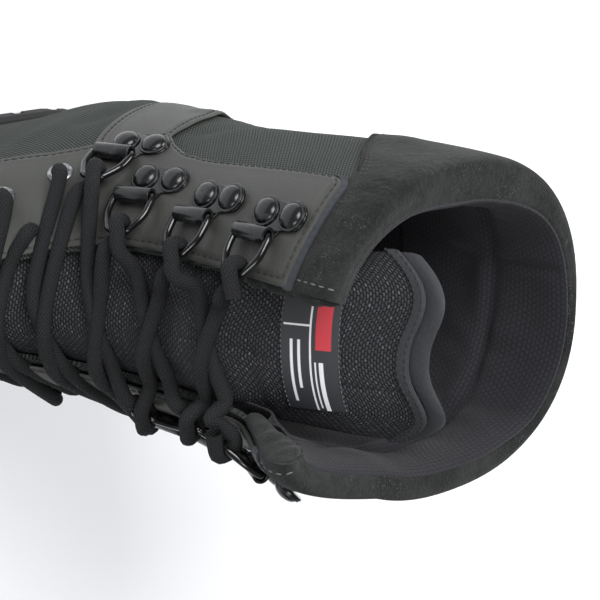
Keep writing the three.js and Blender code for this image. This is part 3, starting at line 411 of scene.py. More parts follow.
class Finish:
    """A material with its own shader, built node by node."""

    def __init__(self, name, **constants):
        self.material = bpy.data.materials.new(name)
        self.material.use_nodes = True
        self.tree = self.material.node_tree
        self.shader = self.tree.nodes["Principled BSDF"]
        for socket, value in constants.items():
            self.shader.inputs[socket.replace("_", " ")].default_value = value

    def node(self, kind, settings, inputs, output=0):
        """One node of any type: settings first, then the values or links of its sockets."""
        node = self.tree.nodes.new(kind)
        for name, value in settings.items():
            setattr(node, name, value)
        pairs = inputs.items() if isinstance(inputs, dict) else enumerate(inputs)
        for key, value in pairs:
            if isinstance(value, Value):
                self.tree.links.new(value.socket, node.inputs[key])
            else:
                node.inputs[key].default_value = value
        return Value(self, node.outputs[output])

    def coordinates(self, output="UV"):
        """Coordinates of the surface in metres: its own map, or the object's."""
        return self.node("ShaderNodeTexCoord", {}, {}, output)

    def axes(self, coordinates):
        """The three numbers of a vector."""
        return [self.node("ShaderNodeSeparateXYZ", {}, [coordinates], k) for k in range(3)]

    def noise(self, coordinates, scale, detail=3.0, roughness=0.55):
        """Noise between 0 and 1; scale is in features to a metre."""
        sockets = {"Vector": coordinates, "Scale": scale, "Detail": detail, "Roughness": roughness}
        return self.node("ShaderNodeTexNoise", {}, sockets)

    def cells(self, coordinates, scale, feature="F1"):
        """Distance to the nearest cell point."""
        sockets = {"Vector": coordinates, "Scale": scale}
        return self.node("ShaderNodeTexVoronoi", {"feature": feature}, sockets)

    def mix(self, share, first, second):
        """One colour over another."""
        inputs = {0: share}
        for key, colour in ((6, first), (7, second)):
            inputs[key] = colour if isinstance(colour, Value) else (*colour, 1.0)
        return self.node("ShaderNodeMix", {"data_type": "RGBA"}, inputs, 2)

    def bump(self, height, distance, strength=1.0):
        """Relief of a height between 0 and 1, distance in millimetres."""
        sockets = {"Height": height, "Distance": distance * MM, "Strength": strength}
        self.feed("Normal", self.node("ShaderNodeBump", {}, sockets))

    def done(self, base, roughness, relief, distance, strength):
        """Feeds colour, roughness and relief, and gives the material."""
        self.feed("Base Color", base)
        self.feed("Roughness", roughness)
        self.bump(relief, distance, strength)
        return self.material

    def feed(self, socket, value):
        """Links a value to one of the shader's sockets."""
        self.tree.links.new(value.socket, self.shader.inputs[socket])


def staggered(u, v, wide, tall):
    """Relief of a plain weave: staggered oval beads."""
    row = (v / tall).math("FLOOR")
    shifted = u + row.math("MODULO", 2.0) * (wide / 2)
    return (shifted.wave(wide) * v.wave(tall)).math("POWER", 0.5)


def leather_finish(tint):
    """Smooth side leather: fine pebble, soft sheen, rubbed patches."""
    finish = Finish("smooth_leather", Specular_IOR_Level=0.40)
    place = finish.coordinates("Object")
    pebble = finish.cells(place, 1500.0, "DISTANCE_TO_EDGE").ramp(0.0, 0.35)
    grain = finish.noise(place, 900.0, 4.0)
    patches = finish.noise(place, 34.0, 5.0, 0.62).ramp(0.38, 0.68)
    scuffs = finish.noise(place, 210.0, 6.0, 0.7).ramp(0.60, 0.74) * patches
    base = finish.mix(patches, toned(tint, 0.86), toned(tint, 1.16))
    base = finish.mix(scuffs * 0.35, base, toned(tint, 1.9))
    return finish.done(
        base, 0.47 + patches * 0.09 + grain * 0.08, pebble * 0.55 + grain * 0.6, 0.10, 0.75)


def suede_finish(name, tint, dust):
    """Napped suede: fine fibres, brushed and flattened patches, small pale specks of dust."""
    finish = Finish(name, Specular_IOR_Level=0.10, Sheen_Weight=0.07, Sheen_Roughness=0.5)
    place = finish.coordinates("Object")
    nap = finish.noise(place, 2600.0, 4.0, 0.7)
    tufts = finish.noise(place, 720.0, 5.0, 0.75)
    brushed = finish.noise(place, 48.0, 5.0, 0.68).ramp(0.38, 0.64)
    flattened = finish.noise(place, 170.0, 5.0, 0.72).ramp(0.42, 0.66)
    specks = 1.0 - finish.cells(place, 1150.0).ramp(0.08, 0.26)
    scattered = finish.noise(place, 62.0, 4.0, 0.65).ramp(0.50, 0.66)
    base = finish.mix(brushed, toned(tint, 0.50), toned(tint, 1.45))
    base = finish.mix(flattened * 0.55, base, toned(tint, 0.50))
    base = finish.mix(tufts.ramp(0.46, 0.68) * 0.45, base, toned(tint, 2.2))
    base = finish.mix(nap.ramp(0.46, 0.66) * 0.40, base, toned(tint, 2.6))
    base = finish.mix(specks * scattered * dust, base, (0.13, 0.135, 0.125))
    return finish.done(
        base, 0.92 + tufts * 0.08, nap * 0.6 + tufts * 0.8 - flattened * 0.5, 0.34, 0.95)


def ribbed_finish(tint):
    """Nylon mesh of the quarter: ribs down the foot, a slanted weave up the shaft."""
    finish = Finish("ribbed_mesh", Specular_IOR_Level=0.2)
    place = finish.coordinates()
    u, v, _ = finish.axes(place)
    slant = u * 0.80 + v * 0.60
    cross = v * 0.80 - u * 0.60
    shaft = staggered(slant, cross, 1.65 * MM, 0.95 * MM)
    foot = u.wave(1.25 * MM) * (0.62 + 0.38 * v.wave(0.75 * MM))
    lower = finish.node("ShaderNodeAttribute", {"attribute_name": "foot"}, {}, 2)
    relief = shaft * (1.0 - lower) + foot * lower
    fuzz = finish.noise(place, 2400.0, 3.0)
    patches = finish.noise(place, 40.0, 4.0)
    # Painted shade and highlight: the colour follows the weave's relief, dark in the grooves and light on
    # the beads, varied by random patches.
    shade = relief.ramp(0.15, 0.95) * (0.75 + 0.5 * patches)
    base = finish.mix(shade, toned(tint, 0.25), toned(tint, 1.75))
    return finish.done(base, 0.78 + fuzz * 0.2, relief + fuzz * 0.22, 0.42, 0.9)


def ballistic_finish(tint):
    """Coarse woven nylon of the tongue, uneven: painted shade in its grooves, a painted highlight on some
    bead tops.
    """
    finish = Finish("ballistic_weave", Specular_IOR_Level=0.4)
    place = finish.coordinates()
    u, v, _ = finish.axes(place)
    sway = finish.noise(place, 260.0, 3.0) - 0.5
    u = u + sway * (0.55 * MM)
    v = v + (finish.noise(place, 330.0, 2.0) - 0.5) * (0.45 * MM)
    beads = staggered(u, v, 1.80 * MM, 1.0 * MM)
    strands = (u * 0.5 + v).wave(0.34 * MM)
    fuzz = finish.noise(place, 1700.0, 4.0)
    each = finish.noise(place, 620.0, 2.0)
    lit = each.ramp(0.54, 0.66)
    # Painted shade: darker in the grooves between the beads, varied at random.
    shade = beads.ramp(0.30, 1.0) * (0.55 + 0.9 * each)
    base = finish.mix(shade, toned(tint, 0.10), toned(tint, 1.40))
    # Painted highlight: a much lighter colour on the tops of some beads.
    base = finish.mix(beads.ramp(0.55, 1.0) * lit * 0.8, base, toned(tint, 5.6))
    return finish.done(
        base, 0.50 + fuzz * 0.35, beads * (0.7 + 0.6 * each) + strands * 0.16 + fuzz * 0.15, 0.50, 1.0)


def knit_finish(tint):
    """Soft brushed knit of the lining."""
    finish = Finish("lining_knit", Specular_IOR_Level=0.12, Sheen_Weight=0.06, Sheen_Roughness=0.6)
    place = finish.coordinates()
    u, v, _ = finish.axes(place)
    wales = staggered(u, v, 2.0 * MM, 1.5 * MM)
    fuzz = finish.noise(place, 2100.0, 4.0, 0.7)
    patches = finish.noise(place, 30.0, 4.0)
    # Partly painted shade: the knit's grooves a little darker; the rest is random fuzz and patches of
    # tone.
    shade = wales * 0.28 + fuzz * 0.75 * (0.6 + patches)
    base = finish.mix(shade.ramp(0.25, 0.9), toned(tint, 0.45), toned(tint, 1.9))
    return finish.done(base, 0.9 + fuzz * 0.1, wales * 0.6 + fuzz * 0.9, 0.34, 0.8)


def binding_finish(name, tint):
    """Fine twill tape with a soft sheen."""
    finish = Finish(name, Specular_IOR_Level=0.3, Sheen_Weight=0.05)
    place = finish.coordinates("Object")
    x, y, z = finish.axes(place)
    twill = (x + y * 0.6 + z * 0.9).wave(0.55 * MM)
    fuzz = finish.noise(place, 1400.0, 3.0)
    base = finish.mix(fuzz.ramp(0.3, 0.7), toned(tint, 0.82), toned(tint, 1.2))
    return finish.done(base, 0.60 + fuzz * 0.2, twill * 0.6 + fuzz * 0.4, 0.14, 0.7)


def cord_finish(tint):
    """Round braided sheath: crossing strands along the cord."""
    finish = Finish("braided_cord", Specular_IOR_Level=0.2)
    place = finish.coordinates()
    u, v, _ = finish.axes(place)
    turn = u * (LACE_DIAMETER * math.pi * MM)
    one = (turn + v * 0.9).wave(1.25 * MM)
    other = (turn - v * 0.9).wave(1.25 * MM)
    braid = one.math("MAXIMUM", other) * 0.6 + one * other * 0.4
    fuzz = finish.noise(finish.coordinates("Object"), 2600.0, 4.0, 0.7)
    pale = finish.cells(finish.coordinates("Object"), 1100.0).ramp(0.05, 0.2)
    # Painted shade: darker in the grooves between the crossing strands, lighter on their tops.
    base = finish.mix(braid.ramp(0.2, 1.0), toned(tint, 0.50), toned(tint, 1.10))
    base = finish.mix(fuzz.ramp(0.5, 0.7) * 0.35, base, toned(tint, 2.2))
    base = finish.mix((1.0 - pale) * 0.22, base, (0.09, 0.09, 0.10))
    return finish.done(base, 0.78 + fuzz * 0.2, braid + fuzz * 0.5, 0.42, 0.95)


def enamel_finish():
    """Glossy black enamel on steel, slightly orange-peeled and rubbed."""
    finish = Finish("black_enamel", Specular_IOR_Level=0.35, Coat_Weight=0.2, Coat_Roughness=0.04)
    place = finish.coordinates("Object")
    peel = finish.noise(place, 420.0, 3.0)
    rubbed = finish.noise(place, 160.0, 5.0, 0.7).ramp(0.60, 0.78)
    return finish.done(
        finish.mix(rubbed, (0.0035, 0.0036, 0.004), (0.018, 0.019, 0.020)), 0.16 + rubbed * 0.2,
        peel, 0.03, 0.5)


def gunmetal_finish():
    """Satin gunmetal of the rivet heads and tubes."""
    finish = Finish("satin_gunmetal", Metallic=0.25, Specular_IOR_Level=0.35, Coat_Weight=0.15,
                    Coat_Roughness=0.06)
    place = finish.coordinates("Object")
    rubbed = finish.noise(place, 240.0, 5.0, 0.7).ramp(0.5, 0.75)
    return finish.done(
        finish.mix(rubbed, (0.009, 0.0094, 0.0100), (0.030, 0.031, 0.033)), 0.24 + rubbed * 0.14,
        finish.noise(place, 1800.0, 3.0), 0.015, 0.5)


def steel_finish():
    """Worn steel of the eyelet rims."""
    finish = Finish("worn_steel", Metallic=0.9)
    place = finish.coordinates("Object")
    worn = finish.noise(place, 500.0, 5.0, 0.7)
    return finish.done(
        finish.mix(worn.ramp(0.4, 0.65), (0.10, 0.105, 0.11), (0.38, 0.39, 0.40)), 0.30 + worn * 0.2,
        worn, 0.03, 0.6)


def rubber_finish(name, tint, fine):
    """Moulded rubber: matte, with a fine spark texture and patches of dust."""
    finish = Finish(name, Specular_IOR_Level=0.35)
    place = finish.coordinates("Object")
    grain = finish.noise(place, fine, 3.0)
    dust = finish.noise(place, 55.0, 6.0, 0.65).ramp(0.45, 0.75)
    base = finish.mix(dust * 0.5, tint, [c * 1.9 + 0.004 for c in tint])
    return finish.done(base, 0.72 + dust * 0.2, grain, 0.16, 0.7)


def thread_finish(name, tint):
    """Bonded sewing thread."""
    finish = Finish(name, Specular_IOR_Level=0.4)
    place = finish.coordinates("Object")
    ply = finish.noise(place, 2600.0, 2.0)
    return finish.done(
        finish.mix(ply, toned(tint, 0.7), toned(tint, 1.3)), 0.5 + ply * 0.2, ply, 0.08, 0.6)


def label_finish():
    """Woven satin band with a thin pale line, a red bar and a few plain pale bars."""
    finish = Finish("satin_label", Specular_IOR_Level=0.4)
    u, v, _ = finish.axes(finish.coordinates())
    ribs = u.wave(0.5 * MM) * 0.6 + v.wave(0.4 * MM) * 0.4

    def stripe(value, low, high):
        soft = 0.12 * MM
        risen = value.ramp(low * MM - soft, low * MM + soft)
        return risen - value.ramp(high * MM - soft, high * MM + soft)

    def bar(low_u, high_u, low_v, high_v):
        return stripe(u, low_u, high_u) * stripe(v, low_v, high_v)

    line = bar(9.2, 9.8, 0.5, 50.0)
    short = bar(0.8, 9.2, 12.0, 12.6)
    pale = [bar(3.0, 3.9, 17.0, 38.0), bar(5.4, 6.3, 17.0, 33.0), bar(12.2, 13.6, 24.0, 47.0)]
    small = bar(10.8, 11.3, 24.0, 40.0)
    red = bar(11.2, 16.2, 3.0, 20.0)
    print_mask = line + short + pale[0] + pale[1] + pale[2] + small
    # Painted shade and highlight: darker between the woven ribs, lighter on their tops.
    base = finish.mix(ribs, (0.012, 0.0125, 0.0145), (0.030, 0.031, 0.036))
    base = finish.mix(print_mask.math("MINIMUM", 1.0), base, (0.62, 0.62, 0.63))
    base = finish.mix(red, base, (0.42, 0.028, 0.040))
    return finish.done(base, 0.42 + ribs * 0.15, ribs, 0.06, 0.6)


def floor_finish(colour):
    """Plain pale floor."""
    finish = Finish("pale_floor", Specular_IOR_Level=0.1)
    place = finish.coordinates("Object")
    soft = finish.noise(place, 4.0, 2.0)
    finish.feed("Base Color", finish.mix(soft, toned(colour, 0.985), colour))
    finish.feed("Roughness", 0.9 + soft * 0.05)
    return finish.material


def deselect():
    """Leaves edit mode and deselects everything."""
    if bpy.context.object and bpy.context.object.mode != "OBJECT":
        bpy.ops.object.mode_set(mode="OBJECT")
    bpy.ops.object.select_all(action="DESELECT")


def only(piece):
    """Makes a piece the one that is selected and active."""
    deselect()
    piece.select_set(True)
    bpy.context.view_layer.objects.active = piece


def apply_modifier(piece, kind, **settings):
    """Adds a modifier and applies it at once."""
    only(piece)
    modifier = piece.modifiers.new(kind.title(), kind)
    for name, value in settings.items():
        setattr(modifier, name, value)
    bpy.ops.object.modifier_apply(modifier=modifier.name)


def edit(piece, *steps):
    """Runs edit-mode steps on all of a piece."""
    only(piece)
    bpy.ops.object.mode_set(mode="EDIT")
    bpy.ops.mesh.select_all(action="SELECT")
    for step in steps:
        step()
    bpy.ops.object.mode_set(mode="OBJECT")


def dress(piece, name, material, nodes=(), body=BODY, sharp=50.0):
    """Names, colours and registers a finished piece, with its place in its mesh."""
    only(piece)
    bpy.ops.object.transform_apply(location=True, rotation=True, scale=True)
    piece.name = name
    piece.data.name = name
    piece.data.materials.clear()
    piece.data.materials.append(material)
    if sharp:
        bpy.ops.object.shade_smooth_by_angle(angle=math.radians(sharp))
    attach(piece, body)
    if nodes:
        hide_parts(*nodes)
    return piece


def thicken(piece, thickness, even=False):
    """Gives a sheet its thickness, inwards, in the unit of its mesh."""
    apply_modifier(piece, "SOLIDIFY", thickness=thickness, offset=-1.0, use_even_offset=even)


def soften(piece, width, angle, segments=2):
    """Rounds the edges that turn by more than an angle in degrees."""
    apply_modifier(piece, "BEVEL", width=width, segments=segments, limit_method="ANGLE",
                   angle_limit=math.radians(angle))


def linked(name, data):
    """A new object of a mesh, lamp or camera, in the scene."""
    piece = bpy.data.objects.new(name, data)
    bpy.context.scene.collection.objects.link(piece)
    return piece


def grid(points):
    """A mesh through a grid of points in millimetres."""
    rows, columns = points.shape[0] - 1, points.shape[1] - 1
    deselect()
    bpy.ops.mesh.primitive_grid_add(x_subdivisions=columns, y_subdivisions=rows, size=MM)
    piece = bpy.context.object
    piece.data.vertices.foreach_set("co", (points * MM).ravel())
    return piece


def write_map(piece, across, along):
    """Gives each point of a grid its place in the surface's map."""
    mesh = piece.data
    places = np.stack([across, along], axis=-1).reshape(-1, 2)
    corners = np.empty(len(mesh.loops), int)
    mesh.loops.foreach_get("vertex_index", corners)
    mesh.uv_layers[0].data.foreach_set("uv", places[corners].ravel())


def step_lengths(points, axis):
    """Travel along one direction of a grid of points, starting at 0."""
    steps = np.linalg.norm(np.diff(points, axis=axis), axis=-1)
    travel = np.cumsum(steps, axis=axis)
    pad = ((1, 0), (0, 0)) if axis == 0 else ((0, 0), (1, 0))
    return np.pad(travel, pad)


def sheet(points, outward, map_origin=0.5):
    """A sheet through a grid of points in millimetres, its faces towards the outward vectors."""
    piece = grid(points)
    mesh = piece.data
    across = step_lengths(points, 1)
    across = across - across[:, [int(round((points.shape[1] - 1) * map_origin))]]
    along = np.broadcast_to(np.mean(step_lengths(points, 0), axis=1, keepdims=True), across.shape)
    write_map(piece, across * MM, along * MM)
    mesh.update()
    normals = np.empty(len(mesh.vertices) * 3)
    mesh.vertices.foreach_get("normal", normals)
    if np.sum(normals.reshape(-1, 3) * outward.reshape(-1, 3)) < 0:
        edit(piece, bpy.ops.mesh.flip_normals)
    return piece


def rolled(distance, radius):
    """Fall of an edge that is rolled over a radius."""
    inside = np.clip(1 - distance / radius, 0, 1)
    return radius * (1 - np.sqrt(1 - inside * inside * 0.999))


class Patch:
    """A stretch of the boot between two sections and two angles, as grids of values."""

    def __init__(self, start, end, low, high, rows, columns, place=None):
        u = np.linspace(0, 1, rows + 1)[:, None]
        v = np.linspace(0, 1, columns + 1)[None, :]
        self.s = start(v) * (1 - u) + end(v) * u
        self.angle = low(self.s) * (1 - v) + high(self.s) * v
        self.place = place or raised
        points = self.place(self.s, self.angle, np.zeros(self.s.shape))
        across = step_lengths(points, 1)
        along = step_lengths(points, 0)
        self.edges = {
            "low": across, "high": across[:, -1:] - across,
            "start": along, "end": along[-1:, :] - along,
        }

    def distance(self, *edges):
        """Distance to the nearest of the named edges."""
        return np.minimum.reduce([self.edges[name] for name in edges])

    def points(self, offset):
        """The patch at an offset over its surface."""
        return self.place(self.s, self.angle, offset + np.zeros(self.s.shape))

    def outward(self):
        """Outward vectors all over the patch."""
        return outward_normal(self.s, self.angle)

    def line(self, edge, inset, offset, keep=()):
        """Points and normals of a line at an inset from an edge, clear of other edges."""
        points = self.points(offset)
        normals = self.outward()
        distance = self.edges[edge]
        clear = self.distance(*keep) if keep else np.full(distance.shape, 1e3)
        if edge in ("start", "end"):
            points, normals = points.swapaxes(0, 1), normals.swapaxes(0, 1)
            distance, clear = distance.T, clear.T
        if edge in ("high", "end"):
            points, normals = points[:, ::-1], normals[:, ::-1]
            distance, clear = distance[:, ::-1], clear[:, ::-1]
        found = []
        for row in range(distance.shape[0]):
            if np.interp(inset, distance[row], clear[row]) < inset * 0.98:
                continue
            spot = [np.interp(inset, distance[row], points[row, :, k]) for k in range(3)]
            turn = [np.interp(inset, distance[row], normals[row, :, k]) for k in range(3)]
            found.append((spot, turn))
        return np.array([f[0] for f in found]), unit(np.array([f[1] for f in found]))


def resampled(points, normals, pitch):
    """Points, directions and normals at an even pitch along a line."""
    travel = travelled(points)
    count = max(2, int(travel[-1] / pitch))
    at = (np.arange(count) + 0.5) * travel[-1] / count
    ahead = np.minimum(at + 0.3, travel[-1])
    behind = np.maximum(at - 0.3, 0)

    def read(values, places):
        return np.stack([np.interp(places, travel, values[:, k]) for k in range(3)], axis=-1)

    return read(points, at), unit(read(points, ahead) - read(points, behind)), unit(read(normals, at))


def template(piece):
    """Vertices and faces of a piece that is modelled once, and the piece removed."""
    mesh = piece.data
    vertices = np.empty(len(mesh.vertices) * 3)
    mesh.vertices.foreach_get("co", vertices)
    faces = [tuple(face.vertices) for face in mesh.polygons]
    bpy.data.objects.remove(piece)
    return vertices.reshape(-1, 3), faces


def stitch_template(length, width, height):
    """One stitch: a low capsule of thread."""
    deselect()
    bpy.ops.mesh.primitive_uv_sphere_add(segments=6, ring_count=4, radius=1.0)
    piece = bpy.context.object
    edit(piece, lambda: bpy.ops.transform.resize(value=(width / 2, height / 2, length / 2)))
    return template(piece)


def copies(name, shape, frames):
    """One mesh with a copy of a shape in each frame: origin, along, normal."""
    vertices, faces = shape
    all_vertices = []
    all_faces = []
    for origin, along, normal in frames:
        side = np.cross(normal, along)
        basis = np.stack([side, normal, along])
        first = len(all_vertices) * len(vertices)
        all_vertices.append(vertices @ basis + origin)
        all_faces += [tuple(first + k for k in face) for face in faces]
    mesh = bpy.data.meshes.new(name)
    mesh.from_pydata((np.concatenate(all_vertices) * MM).tolist(), [], all_faces)
    return linked(name, mesh)


def seam(name, lines, material, pitch=2.7, length=2.1, width=0.62, height=0.5):
    """Rows of stitches along lines of points and normals."""
    shape = stitch_template(length, width, height)
    frames = []
    for points, normals in lines:
        if len(points) < 3:
            continue
        spots, along, upward = resampled(points, normals, pitch)
        upward = unit(upward - along * np.sum(upward * along, axis=-1, keepdims=True))
        frames += list(zip(spots, along, upward))
    piece = copies(name, shape, frames)
    return dress(piece, name, material, sharp=80)


def edge_lines(patch, edges, insets, offset):
    """Lines of stitches beside the edges of a patch, each clear of the other edges."""
    return [patch.line(edge, inset, offset, [other for other in edges if other != edge])
            for edge in edges for inset in insets]


def leather_panel(name, patch, under, thickness, material, nodes=(), roll=1.2, groove=()):
    """A cut panel with rolled edges and a sunk line under its stitches."""
    height = under + thickness - rolled(patch.distance("low", "high", "start", "end"), roll) * 0.55
    if groove:
        away = patch.distance(*groove) - SEAM_INSETS[0]
        height = height - 0.28 * hump(away, 0.75) + 0.12 * hump(away - 1.6, 0.9)
    piece = sheet(patch.points(height), patch.outward())
    thicken(piece, thickness * MM, even=True)
    soften(piece, 0.22 * MM, 55)
    return dress(piece, name, material, nodes)


def tube(points, radius, sides=12, closed=False, flat=None, reference=None):
    """A tube through points in millimetres, its map along it; flat squeezes it along the reference."""
    count = len(points)
    radii = np.broadcast_to(np.asarray(radius, float), (count,))
    tangents = unit(np.gradient(points, axis=0))
    if closed:
        tangents = unit(np.roll(points, -1, axis=0) - np.roll(points, 1, axis=0))
    if reference is None:
        reference = np.empty(points.shape)
        upward = np.array([0.0, 0.0, 1.0]) if abs(tangents[0][2]) < 0.9 else np.array([0.0, 1.0, 0.0])
        for k in range(count):
            upward = unit(upward - tangents[k] * np.dot(upward, tangents[k]))
            reference[k] = upward
    upward = unit(reference - tangents * np.sum(reference * tangents, axis=-1, keepdims=True))
    sideways = np.cross(tangents, upward)
    squeeze = np.ones(count) if flat is None else np.asarray(flat, float)
    turns = np.linspace(0, 2 * math.pi, sides + 1)[None, :, None]
    arms = np.sin(turns) * upward[:, None, :] * squeeze[:, None, None]
    arms = arms + np.cos(turns) * sideways[:, None, :] / np.sqrt(squeeze)[:, None, None]
    rings = points[:, None, :] + arms * radii[:, None, None]
    if closed:
        rings = np.concatenate([rings, rings[:1]])
    piece = grid(rings)
    write_map(piece, *np.meshgrid(np.linspace(0, 1, sides + 1), travelled(rings.mean(axis=1)) * MM))
    edit(piece, lambda: bpy.ops.mesh.remove_doubles(threshold=WELD_REACH / 2),
         lambda: bpy.ops.mesh.normals_make_consistent(inside=False))
    return piece


def curve_through(points, step=1.2):
    """Points at an even step on a smooth curve through given points."""
    points = np.asarray(points, float)
    padded = np.concatenate([[2 * points[0] - points[1]], points, [2 * points[-1] - points[-2]]])
    t = np.linspace(0, 1, 24, endpoint=False)[:, None]
    found = [spline(*padded[k:k + 4], t) for k in range(len(points) - 1)]
    line = np.concatenate([*found, points[-1:]])
    travel = travelled(line)
    at = np.linspace(0, travel[-1], max(4, int(travel[-1] / step)))
    return np.stack([np.interp(at, travel, line[:, k]) for k in range(3)], axis=-1)


def copy_to(piece, name, matrix):
    """A copy of a modelled piece with its own mesh, placed by a matrix in millimetres."""
    mesh = piece.data.copy()
    mesh.transform(Matrix.Scale(MM, 4) @ matrix)
    if matrix.determinant() < 0:
        mesh.flip_normals()
    return linked(name, mesh)


def both_sides(side):
    """Mirror for the medial side's hardware."""
    return Matrix.Diagonal((1, side, 1, 1))


FINISHES = {}


def make_finishes(colours):
    """All the materials, from the colours that a user can set."""
    leather = tuple(colours.leather)
    suede = tuple(colours.suede)
    mesh = tuple(colours.mesh)
    FINISHES["leather"] = leather_finish(leather)
    FINISHES["suede"] = suede_finish("black_suede", suede, 0.8)
    FINISHES["worn_suede"] = suede_finish("rubbed_suede", toned(suede, 1.5), 1.0)
    FINISHES["mesh"] = ribbed_finish(mesh)
    FINISHES["ballistic"] = ballistic_finish(tuple(colours.tongue))
    FINISHES["knit"] = knit_finish(tuple(colours.lining))
    FINISHES["binding"] = binding_finish("twill_binding", [0.025, 0.026, 0.0295])
    FINISHES["raw_edge"] = binding_finish("raw_felt", [0.022, 0.025, 0.031])
    FINISHES["cord"] = cord_finish(tuple(colours.lace))
    FINISHES["enamel"] = enamel_finish()
    FINISHES["gunmetal"] = gunmetal_finish()
    FINISHES["steel"] = steel_finish()
    FINISHES["rubber"] = rubber_finish("outsole_rubber", (0.012, 0.012, 0.0125), 900.0)
    FINISHES["foam"] = rubber_finish("midsole_rubber", (0.015, 0.015, 0.016), 1600.0)
    FINISHES["thread"] = thread_finish("dark_thread", (0.018, 0.018, 0.018))
    FINISHES["pale_thread"] = thread_finish("dusty_thread", (0.10, 0.10, 0.095))
    FINISHES["label"] = label_finish()


def facing_back(s):
    """Back edge of a facing, in radians."""
    return np.radians(np.interp(s, FACING_BACK_AT, FACING_BACK))


class BootColours(bpy.types.PropertyGroup):
    """Colours that a user can change."""
    leather: FloatVectorProperty(
        name="Leather", description="Smooth leather of facings, bands, counter and toe cap",
        default=(0.034, 0.0355, 0.0315), subtype="COLOR", min=0, max=1)
    suede: FloatVectorProperty(
        name="Suede", description="Napped suede of the collar",
        default=(0.0118, 0.0124, 0.0124), subtype="COLOR", min=0, max=1)
    mesh: FloatVectorProperty(
        name="Mesh", description="Ribbed nylon of the quarters",
        default=(0.036, 0.041, 0.0375), subtype="COLOR", min=0, max=1)
    tongue: FloatVectorProperty(
        name="Tongue", description="Coarse woven nylon of the tongue",
        default=(0.021, 0.022, 0.0255), subtype="COLOR", min=0, max=1)
    lining: FloatVectorProperty(
        name="Lining", description="Knit inside the collar",
        default=(0.0135, 0.0135, 0.0165), subtype="COLOR", min=0, max=1)
    lace: FloatVectorProperty(
        name="Lace", description="Braided round lace",
        default=(0.0135, 0.0140, 0.0150), subtype="COLOR", min=0, max=1)
    floor: FloatVectorProperty(
        name="Floor", description="Pale floor under the boot",
        default=(0.74, 0.745, 0.765), subtype="COLOR", min=0, max=1)


class BootSizes(bpy.types.PropertyGroup):
    """Sizes that a user can change."""
    lace: FloatProperty(
        name="Lace", description="Diameter of the round lace", default=LACE_DIAMETER * MM,
        unit="LENGTH", min=0.002, max=0.006)
    key_light: FloatProperty(
        name="Key light", description="Power of the large soft light in watts", default=24.0, min=0,
        max=200)


class BOOT_OT_upper(bpy.types.Operator):
    """Mesh upper: one fine shell from the collar to the toe, open at collar and throat"""
    bl_idname = "boot.upper"
    bl_label = "Upper"

    def execute(self, context):
        patch = Patch(
            start=level(RIM), end=level(TOE_END),
            low=lambda s: edge_angle(s, 1), high=lambda s: 2 * math.pi + edge_angle(s, -1),
            rows=150, columns=128)
        panels = smooth(patch.s, 5.4, 6.2)
        swell = 0.5 * np.sin(np.clip((patch.s - 2.2) / 3.0, 0, 1) * math.pi)
        points = patch.points(swell)
        points[..., 2] = np.maximum(points[..., 2], feather_height(points[..., 1]) + 0.1)
        piece = sheet(points, patch.outward())
        attribute = piece.data.attributes.new("foot", "FLOAT", "POINT")
        attribute.data.foreach_set("value", panels.ravel())
        edit(piece, lambda: bpy.ops.mesh.remove_doubles(threshold=WELD_REACH))
        thicken(piece, (WALL - 0.8) * MM)
        dress(piece, "upper_mesh", FINISHES["mesh"], ("upper",), sharp=60)
        return {"FINISHED"}


def around_collar(columns):
    """Shares round the collar from throat edge to throat edge, and the suede's lower edge there."""
    v = np.linspace(0, 1, columns + 1)
    side = np.minimum(v, 1 - v)
    beside = FACING_TOP + 0.06 + FACING_DROP * np.minimum(1, side / 0.13)
    outside = CUFF_LATERAL_DIP * smooth(v, 0.135, 0.25) * (1 - smooth(v, 0.4, 0.6))
    return v, beside + CUFF_DIP * smooth(side, 0.135, 0.26) + outside


def collar_angle(s, v):
    """Angle round the collar, from the lateral to the medial edge of the throat."""
    low = edge_angle(s, 1, 0.8)
    return low + (2 * math.pi + edge_angle(s, -1, 0.8) - low) * v


def collar_inward(v):
    """How far in from the upper's outside the suede ends."""
    angle = np.degrees(collar_angle(np.full(v.shape, RIM), v))
    return np.interp(angle, COLLAR_AT, COLLAR_IN)


def swept(rows, v, count):
    """Surface through rows of section and offset round the collar: points, sections and angles."""
    share = np.linspace(0, 1, count + 1)
    s = through([row[0] + v * 0 for row in rows], share)
    offset = through([row[1] + v * 0 for row in rows], share)
    angle = collar_angle(s, v)
    return raised(s, angle, offset), s, angle


